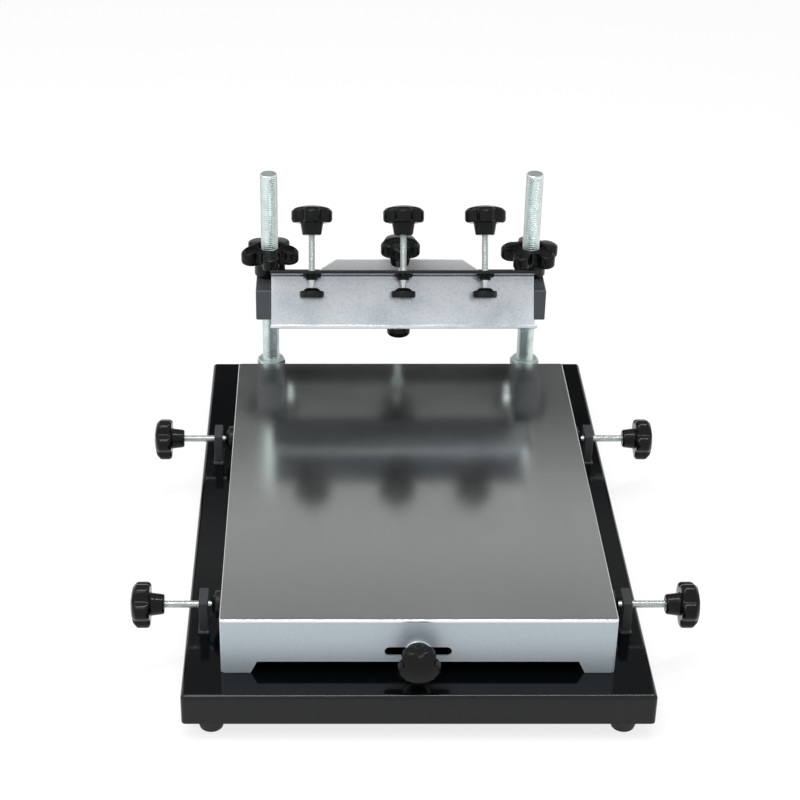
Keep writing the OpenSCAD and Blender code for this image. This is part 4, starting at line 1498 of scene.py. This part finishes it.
@dataclass(frozen=True)
class Lift:
    """Blocks on the columns, the crossbar between them, the star nuts and the pivots.

    Attributes:
        block_edge: Radius of a block's edges.
        bar_sheet: Thickness of the crossbar's sheet.
        upstand_w: Length of the crossbar's upstand along its top.
        upstand_flare: How far the upstand's ends flare.
        star: Outline of a star nut.
        star_hub: Height and radius of a star nut's hub.
        star_gap: Room between the hub and the block that it turns on.
        star_crown_r: Radius of the sphere that a star nut's top is part of.
        bore: Radius of the hole in a star nut.
        star_edge: Radius of a star nut's edges.
        bar_edge: Radius of the crossbar's edges.
        weld_nut: Width across the flats and hole of the crossbar's nut.
        set_screw: Radius of a retaining screw, of its point and of its socket.
        bolt_head: Width across the flats and height of a pivot bolt's head.
        bolt_r: Radius of a pivot bolt.
        washer: Radius of a pivot washer's hole and of the washer.
        left_lobe: Direction that a lobe of the left star nut points to.
        right_lobe: The same for the right one.
    """

    block_edge: float = 1.2
    bar_sheet: float = 2.5
    upstand_w: float = 120.0
    upstand_flare: float = 16.0
    star: Star = Star(56.0, 7.8, 15.6)
    star_hub: Point = (14.0, 14.5)
    star_gap: float = 0.2
    star_crown_r: float = 150.0
    bore: float = 10.0
    star_edge: float = 3.2
    bar_edge: float = 0.5
    weld_nut: Point = (10.0, 6.1)
    set_screw: tuple[float, float, float] = (2.4, 1.7, 1.3)
    bolt_head: Point = (12.8, 4.8)
    bolt_r: float = 4.0
    washer: Point = (4.1, 10.0)
    left_lobe: tuple[float, float, float] = (0.07, -1.0, 0.0)
    right_lobe: tuple[float, float, float] = (0.67, -0.74, 0.0)

    def build(self) -> None:
        """Makes all the pieces of the lift."""
        for side in Side:
            low, high = corners(f"{side.word}_block")
            block = Shape.box(low, high, self.block_edge, 3)
            make_piece(block, f"{side.word}_block_cast", GREY_BLOCK_PAINT, f"{side.word}_block")
        self.crossbar()
        self.retainers()
        self.pivots()
        self.star_nut(Side.LEFT, Vector(self.left_lobe))
        self.star_nut(Side.RIGHT, Vector(self.right_lobe))

    def crossbar(self) -> None:
        """Makes the crossbar from its shelf and its upright, with the weld nut below."""
        low, high = corners("crossbar")
        nut_low, nut_high = corners("crossbar_weld_nut")
        shelf = nut_high.z + self.bar_sheet
        half, top = high.x, self.upstand_w / 2
        outline = [(-half, low.z), (half, low.z), (half, shelf), (top + self.upstand_flare, shelf), (top, high.z),
                   (-top, high.z), (-top - self.upstand_flare, shelf), (-half, shelf)]
        stand = Matrix.Translation((0, high.y * MM, 0)) @ Matrix.Rotation(math.pi / 2, 4, "X")
        made = Shape.plate(outline, self.bar_sheet, self.bar_edge).moved(stand)
        shelf_rear = high.y - 0.2
        made.join(Shape.box((-half, low.y, shelf - self.bar_sheet), (half, shelf_rear, shelf), self.bar_edge))
        # The crossbar's paint: pale above the shelf, with near black painted shade below it.
        paint = MaskedPaint("pale_masked_paint", Slot.SILVER_PAINT, "#f2f3f4", "#e8ebed", 0.0, 0.42,
                            line_m=(shelf + self.bar_edge) * MM)
        make_piece(made, "crossbar_folded", paint, "crossbar")
        middle = (nut_low + nut_high) / 2
        flats, hole = self.weld_nut
        nut = HexNut(flats, nut_high.z - nut_low.z, hole).shape().at(middle.x, middle.y, nut_low.z)
        make_piece(nut, "crossbar_weld_nut_hexagon", ZINC, "crossbar_weld_nut")

    def retainers(self) -> None:
        """Makes the headless screws in the blocks' outer sides."""
        low, high = corners("retaining_screws")
        middle, tip = (low + high) / 2, nearest_x("retaining_screws")
        length = high.x - tip
        wide, point, socket = self.set_screw
        neck, shoulder, lead, floor = 1.2, 1.4, 0.3, length - 1.6
        profile = [(0.0, 0.0), (point, 0.0), (point + 0.05, neck), (wide, shoulder), (wide, length - lead),
                   (wide - lead, length), (socket, length), (socket - 0.1, floor), (0.0, floor - 0.2)]
        made = Shape()
        for side in Side:
            axis = Axis(Vector((0.0, middle.y, middle.z)), RIGHT * side.value)
            made.join(Shape.lathe(profile, steps=32).moved(axis.matrix(tip, UP)))
        make_piece(made, "retaining_screws_socket", BLACK_OXIDE_AND_PAINTED_SHADE, "retaining_screws")

    def pivots(self) -> None:
        """Makes the pivot bolts and their friction washers."""
        joint = Axis.of_joint("holder_pivot")
        inner, near = nearest_x("pivot_bolts"), nearest_x("pivot_washers")
        length, thick = corners("pivot_bolts")[1].x - inner, corners("pivot_washers")[1].x - near
        bolt, seat, lead, edge, steps = self.bolt_r, 4.0, 0.6, 0.2, 40
        shank = [(0.0, seat), (bolt, seat), (bolt, length - lead), (bolt - lead, length), (0.0, length)]
        bolts, washers = Shape(), Shape()
        for side in Side:
            axis = Axis(joint.point, RIGHT * side.value)
            bolts.join(HexNut(*self.bolt_head).shape().moved(axis.matrix(inner, UP)),
                       Shape.lathe(shank, steps=32).moved(axis.matrix(inner, UP)))
            washers.join(Shape.washer(*self.washer, thick, edge, steps).moved(axis.matrix(near, UP)))
        make_piece(bolts, "pivot_bolts_hexagon", ZINC, "pivot_bolts")
        make_piece(washers, "pivot_washers_turned", ZINC, "pivot_washers")

    def star_nut(self, side: Side, lobe: Vector) -> None:
        """Makes a star nut and the steel sleeve inside it.

        Args:
            side: Column that it runs on.
            lobe: Direction that one of its lobes points to.
        """
        node, inner = f"{side.word}_star_nut", f"{side.word}_sleeve"
        axis = Axis.of_joint(f"{side.word}_nut_spin")
        low, high = axis.span(node)
        hub_h, hub_r = self.star_hub
        full, top, e, fillet, steps = self.star.diameter / 2, high - low, self.star_edge, 1.2, 6
        bore, crown = self.bore, self.star_crown_r
        rim, lead, hub_edge = top - full ** 2 / (2 * crown), bore + fillet, 0.8
        gap, mouth = self.star_gap, ((0.3, 0.6), (0.0, 1.4))
        spots = [lead + (full - e - lead) * i / steps for i in range(steps, -1, -1)]
        profile = [(bore, gap), (hub_r - hub_edge, gap), (hub_r, gap + hub_edge), (hub_r, hub_h - fillet),
                   *arc((hub_r + fillet, hub_h - fillet), fillet, 180, 90, 3), (full - e, hub_h),
                   *arc((full - e, hub_h + e), e, -80, 0, 5), *arc((full - e, rim - e), e, 0, 82, 6),
                   *((r, top - r ** 2 / (2 * crown)) for r in spots), *((bore + r, top - z) for r, z in mouth)]
        made = Shape.lathe(profile, steps=140, ring=True)
        made.reshape(self.star.rule(hub_h, hub_r, crown))
        make_piece(made.moved(axis.matrix(low, lobe)), f"{node}_moulded", PLASTIC, node)
        start, end = axis.span(inner)
        radius = corners(f"{side.word}_column")[1].x - axis.point.x
        play, fit, edge, lead = 0.06, 0.03, 0.4, 0.5
        hole, wide, length = radius + play, bore - fit, end - start
        tube = [(hole, lead), (hole + lead, 0.0), (wide, 0.0), (wide, length - edge), (wide - edge, length),
                (hole + lead, length), (hole, length - lead)]
        # Painted shade: the sleeve is drawn dark so that its ring in the star nut's recess reads as shaded.
        make_piece(Shape.lathe(tube, steps=48, ring=True).moved(axis.matrix(start, lobe)), f"{inner}_turned",
                   BLACK_OXIDE_AND_PAINTED_SHADE, inner)


@dataclass(frozen=True)
class Holder:
    """Tilting channel that clamps the rear bar of a stencil frame.

    Attributes:
        sheet: Thickness of the channel's sheet.
        bend: Outside radius of its bends.
        flange: Depth of the top flange in front of the web.
        lip: Depth of the bottom lip in front of the web.
        ear: Thickness of an ear.
        ear_r: Radius of an ear round its pivot.
        ear_root: Height of an ear at the web.
        ear_lean: Lean of an ear's edges, in degrees.
        weld: Radius of a weld ripple.
        nut_welds: Number of welds round a nut.
        hole_r: Radius of a screw's hole in the flange.
        nut: Width across the flats and hole of a weld nut.
        nut_ring: Distance of a nut's welds from its middle.
        nut_weld: Radius of such a weld.
    """

    sheet: float = 2.5
    bend: float = 4.0
    flange: float = 38.0
    lip: float = 30.0
    ear: float = 3.0
    ear_r: float = 11.0
    ear_root: float = 34.0
    ear_lean: float = 15.0
    weld: float = 1.5
    nut_welds: int = 9
    hole_r: float = 3.3
    nut: Point = (10.0, 6.1)
    nut_ring: float = 6.3
    nut_weld: float = 2.025

    @property
    def tilted(self) -> Matrix:
        """Takes what is drawn from the pivot in the closed holder to its tilted place.

        Returns:
            The matrix, in metres.
        """
        angle = math.radians(JOINTS["holder_pivot"]["range_deg"][1])
        pivot = Axis.of_joint("holder_pivot").point * MM
        return Matrix.Translation(pivot) @ Matrix.Rotation(-angle, 4, "X")

    @property
    def paint(self) -> HammerPaint:
        """The holder's finish, which knows where the flange's cut edge is.

        Returns:
            The finish.
        """
        turned = self.tilted.to_3x3()
        front = turned @ FRONT
        flange_y = self.local("clamp_channel")[1].y - self.sheet - self.flange
        cut = self.tilted @ (Vector((0.0, flange_y, 0.0)) * MM)
        return HammerPaint("silver_hammer_paint", Slot.HAMMER_PAINT, "#d2d8dc", "#98a3ad", 0.6, 0.2,
                           down=tuple(turned @ DOWN), front=tuple(front), edge_m=cut.dot(front) - MM)

    def local(self, node: str) -> tuple[Vector, Vector]:
        """Finds a CAD node in the closed holder.

        Args:
            node: Name of the node.

        Returns:
            Its lowest and highest corner from the pivot, in millimetres.
        """
        back = self.tilted.inverted()
        places = [back @ vert.co / MM for vert in frame["nodes"][node].data.vertices]
        return Vector(map(min, *places)), Vector(map(max, *places))

    def build(self) -> None:
        """Makes the channel, its ears and its weld nuts."""
        low, high = self.local("clamp_channel")
        self.channel(low, high)
        self.ears(low, high)
        self.weld_nuts()

    def channel(self, low: Vector, high: Vector) -> None:
        """Makes the folded channel with the holes for its screws.

        Args:
            low: Lowest corner of the channel in the closed holder.
            high: Its highest corner.
        """
        back, r = high.y, self.bend
        front = back - self.sheet
        path = [(front - self.flange, high.z), *arc((back - r, high.z - r), r, 90, 0, 6),
                *arc((back - r, low.z + r), r, 0, -90, 6), (front - self.lip, low.z)]
        under, over = high.z - 2 * self.sheet, high.z + self.sheet
        drill = [(0.0, under), (self.hole_r, under), (self.hole_r, over), (0.0, over)]
        holes = [Shape.lathe(drill, steps=24).at(x, y, 0) for x, y in self.nut_places()]
        made = Shape.folded(path, high.x - low.x, self.sheet).cut(*holes)
        make_piece(made.moved(self.tilted), "clamp_channel_folded", self.paint, "clamp_channel")

    def nut_places(self) -> list[Point]:
        """Finds the three weld nuts in the closed holder.

        Returns:
            Their middles, as X and Y.
        """
        low, high = self.local("clamp_weld_nuts")
        back = self.tilted.inverted()
        spots = [back @ (Axis.of_joint(f"{key}_clamp_spin").point * MM) / MM for key in ("left", "middle", "right")]
        return [(spot.x, (low.y + high.y) / 2) for spot in spots]

    def ears(self, low: Vector, high: Vector) -> None:
        """Makes the ears and the welds that hold them to the channel.

        Args:
            low: Lowest corner of the channel in the closed holder.
            high: Its highest corner.
        """
        web, root = high.y, (low.z + high.z) / 2
        outline = [*arc((0.0, 0.0), self.ear_r, 270 - self.ear_lean, 450 + self.ear_lean, 24),
                   (web, root + self.ear_root / 2), (web, root - self.ear_root / 2)]
        stand = Matrix(((0, 0, 1, 0), (1, 0, 0, 0), (0, 1, 0, 0), (0, 0, 0, 1)))
        inner, edge = nearest_x("holder_ears"), 0.5
        weld_low, weld_high = root - self.ear_root / 2 + 2, root + self.ear_root / 2 - 2
        made = Shape()
        for side in Side:
            near = inner if side is Side.RIGHT else -inner - self.ear
            made.join(Shape.plate(outline, self.ear, edge).moved(stand).at(near, 0, 0))
            for x in (near, near + self.ear):
                made.join(weld_bead(Vector((x, web, weld_low)), Vector((x, web, weld_high)), self.weld))
        make_piece(made.moved(self.tilted), "holder_ears_welded", self.paint, "holder_ears")

    def weld_nuts(self) -> None:
        """Makes the nuts under the flange, each in a collar of weld."""
        low, high = self.local("clamp_weld_nuts")
        flats, hole = self.nut
        sunk, run = 0.6, Vector((0.6, 0.4, 0.0))
        made = Shape()
        for x, y in self.nut_places():
            made.join(HexNut(flats, high.z - low.z, hole).shape().at(x, y, low.z))
            for i in range(self.nut_welds):
                turn = Matrix.Rotation(2 * math.pi * (i + 0.5) / self.nut_welds, 3, "Z")
                spot = Vector((x, y, high.z - sunk)) + turn @ (RIGHT * self.nut_ring)
                made.join(weld_bead(spot, spot + run, self.nut_weld))
        make_piece(made.moved(self.tilted), "clamp_weld_nuts_hexagon", BLACK_OXIDE_AND_PAINTED_SHADE, "clamp_weld_nuts")


@dataclass(frozen=True)
class Studio:
    """Camera, floor and light round the object.

    Attributes:
        pitch_deg: How far the camera looks down.
        lens_mm: Focal length.
        sensor_mm: Width of the sensor.
        shift_x: Sideways shift of the frame.
        camera_m: Place of the camera.
        floor_m: Half width of the floor.
        floor_colours: Floor as the light meets it and as the eye does, sRGB hex.
        floor_glow: Light that lifts the floor to near white for the eye.
        fill: Strength of the light from all round.
        key_w: Power of the softbox above.
        key_m: Place of the softbox.
        key_size: Its width and depth.
        strip_w: Power of the narrow lamp overhead.
        strip_m: Place of that lamp.
        strip_size: Its width and depth.
        aim_m: What the lamps look at.
        card_m: Middle of the card that the flat tops mirror.
        card_half: Half its width and half its height.
        card_low_m: Height at which the card's shading starts.
        card_high_m: Height at which it ends.
        card_levels: Share of that height and brightness of each step of the shading.
    """

    pitch_deg: float = 29.83
    lens_mm: float = 86.8
    sensor_mm: float = 36.0
    shift_x: float = 0.097
    camera_m: tuple[float, float, float] = (-0.073, -1.4115, 0.958)
    floor_m: float = 6.0
    floor_colours: tuple[str, str] = ("#e6e6e6", "#8c8c8c")
    floor_glow: float = 0.78
    fill: float = 0.62
    key_w: float = 17.0
    key_m: tuple[float, float, float] = (-0.9, -0.7, 1.9)
    key_size: Point = (1.8, 1.4)
    strip_w: float = 9.0
    strip_m: tuple[float, float, float] = (0.1, -0.15, 1.5)
    strip_size: Point = (1.2, 0.06)
    aim_m: tuple[float, float, float] = (0.0, 0.0, 0.1)
    card_m: tuple[float, float, float] = (0.0, 2.2, 1.65)
    card_half: Point = (1.6, 0.8)
    card_low_m: float = 1.2
    card_high_m: float = 2.0
    card_levels: tuple[Point, ...] = ((0.0, 0.06), (0.14, 0.04), (0.25, 0.11), (0.33, 0.25), (0.42, 0.38),
                                      (0.5, 0.42), (0.6, 0.37), (0.72, 0.22), (1.0, 0.18))

    def build(self) -> None:
        """Makes the whole studio."""
        bpy.context.scene.view_settings.view_transform = "Standard"
        self.camera()
        self.world()
        self.floor()
        self.card()
        self.lamp("softbox", self.key_m, self.key_size, self.key_w)
        self.lamp("strip", self.strip_m, self.strip_size, self.strip_w)

    def camera(self) -> None:
        """Sets the camera at the photograph's viewing angle."""
        data = bpy.data.cameras.new("camera")
        data.lens, data.sensor_width, data.shift_x = self.lens_mm, self.sensor_mm, self.shift_x
        data.dof.use_dof = False
        camera = bpy.data.objects.new("camera", data)
        camera.location = self.camera_m
        camera.rotation_euler = (math.radians(90.0 - self.pitch_deg), 0.0, 0.0)
        bpy.context.scene.collection.objects.link(camera)
        bpy.context.scene.camera = camera

    def seen(self, tree: Tree) -> Socket:
        """Tells what is looked at from what only gives light.

        Args:
            tree: Node tree of a material or the world.

        Returns:
            1 for rays from the camera, mirrors and glass, and 0 for light that is scattered.
        """
        path = add_node(tree, "LightPath", {})
        some = add_node(tree, "Math", {0: path.outputs["Is Camera Ray"], 1: path.outputs["Is Glossy Ray"]},
                        operation="MAXIMUM")
        return add_node(tree, "Math", {0: some.outputs[0], 1: path.outputs["Is Transmission Ray"]},
                        operation="MAXIMUM").outputs[0]

    def world(self) -> None:
        """Lights the scene evenly and shows white where the world is seen."""
        world = bpy.data.worlds.new("studio")
        world.use_nodes = True
        tree = world.node_tree
        tree.nodes.clear()
        fill = add_node(tree, "Background", {"Color": linear("#ffffff"), "Strength": self.fill})
        white = add_node(tree, "Background", {"Color": linear("#ffffff"), "Strength": 1.0})
        mixed = add_node(tree, "MixShader", {0: self.seen(tree), 1: fill.outputs[0], 2: white.outputs[0]})
        add_node(tree, "OutputWorld", {"Surface": mixed.outputs[0]})
        bpy.context.scene.world = world

    def floor(self) -> None:
        """Lays a pale floor that keeps a soft shadow."""
        made = Shape()
        bmesh.ops.create_grid(made.bm, x_segments=1, y_segments=1, size=self.floor_m)
        material = self.blank("pale_floor")
        tree = material.node_tree
        plain, shade = (add_node(tree, "BsdfDiffuse", {"Color": linear(tone)}) for tone in self.floor_colours)
        glow = add_node(tree, "Emission", {"Color": linear("#ffffff"), "Strength": self.floor_glow})
        shown = add_node(tree, "AddShader", {0: shade.outputs[0], 1: glow.outputs[0]})
        mixed = add_node(tree, "MixShader", {0: self.seen(tree), 1: plain.outputs[0], 2: shown.outputs[0]})
        add_node(tree, "OutputMaterial", {"Surface": mixed.outputs[0]})
        self.stage(made, "floor", material)

    def card(self) -> None:
        """Hangs a shaded card behind and above the object, which its flat tops mirror."""
        made = Shape()
        stand = Matrix.Translation(self.card_m) @ Matrix.Rotation(math.pi / 2, 4, "X")
        bmesh.ops.create_grid(made.bm, x_segments=1, y_segments=1, size=1.0,
                              matrix=stand @ Matrix.Diagonal((*self.card_half, 1.0, 1.0)))
        material = self.blank("shaded_card")
        tree = material.node_tree
        place = add_node(tree, "TexCoord", {}).outputs["Object"]
        height = add_node(tree, "SeparateXYZ", {"Vector": place}).outputs["Z"]
        share = add_node(tree, "MapRange", ranged(height, (self.card_low_m, self.card_high_m), (0.0, 1.0)))
        ramp = add_node(tree, "ValToRGB", {"Fac": share.outputs["Result"]})
        stops = ramp.color_ramp.elements
        stops.remove(stops[1])
        for spot, level in self.card_levels:
            stop = stops.new(spot) if spot > 0.0 else stops[0]
            stop.color = (level, level, level, 1.0)
        glow = add_node(tree, "Emission", {"Color": ramp.outputs["Color"], "Strength": 1.0})
        add_node(tree, "OutputMaterial", {"Surface": glow.outputs[0]})
        self.stage(made, "shaded_card", material).visible_camera = False

    def blank(self, name: str) -> bpy.types.Material:
        """Makes a material without nodes.

        Args:
            name: Name of the material.

        Returns:
            The material.
        """
        made = bpy.data.materials.new(name)
        made.use_nodes = True
        made.node_tree.nodes.clear()
        return made

    def stage(self, shape: Shape, name: str, material: bpy.types.Material) -> bpy.types.Object:
        """Adds an object that isn't part of the printer.

        Args:
            shape: Its shape.
            name: Its name.
            material: Its material.

        Returns:
            The new object.
        """
        made = shape.drawn(name, material)
        return made

    def lamp(self, name: str, place: tuple[float, float, float], size: Point, power: float) -> None:
        """Hangs a soft lamp that looks at the object.

        Args:
            name: Name of the lamp.
            place: Where it hangs, in metres.
            size: Its width and depth, in metres.
            power: Its power in watts.
        """
        data = bpy.data.lights.new(name, "AREA")
        data.shape, data.energy = "RECTANGLE", power
        data.size, data.size_y = size
        lamp = bpy.data.objects.new(name, data)
        lamp.location = place
        lamp.rotation_mode = "QUATERNION"
        lamp.rotation_quaternion = (Vector(self.aim_m) - Vector(place)).to_track_quat("-Z", "Y")
        bpy.context.scene.collection.objects.link(lamp)


def main() -> None:
    """Builds the sub-assemblies in order."""
    logging.basicConfig(level=logging.INFO, format="%(message)s")
    Studio().build()
    Base().build()
    Columns().build()
    Table().build()
    Lift().build()
    Holder().build()
    screw = HandScrew()
    screw.build_front(Vector((0.05, 0.0, -1.0)))
    for side in Side:
        for row in ("front", "rear"):
            key = f"{side.word}_{row}"
            screw.build(key, f"{key}_screw_spin", DOWN + FRONT * 0.5, flip=side is Side.LEFT)
    clamp = HandScrew(hub_end=8.9, hub_root=10.2, taper=8.0)
    for key in ("left", "middle", "right"):
        clamp.build(f"{key}_clamp", f"{key}_clamp_spin", FRONT)
    clamp.build("rear", "rear_screw_spin", FRONT)


if __name__ == "__main__":
    main()
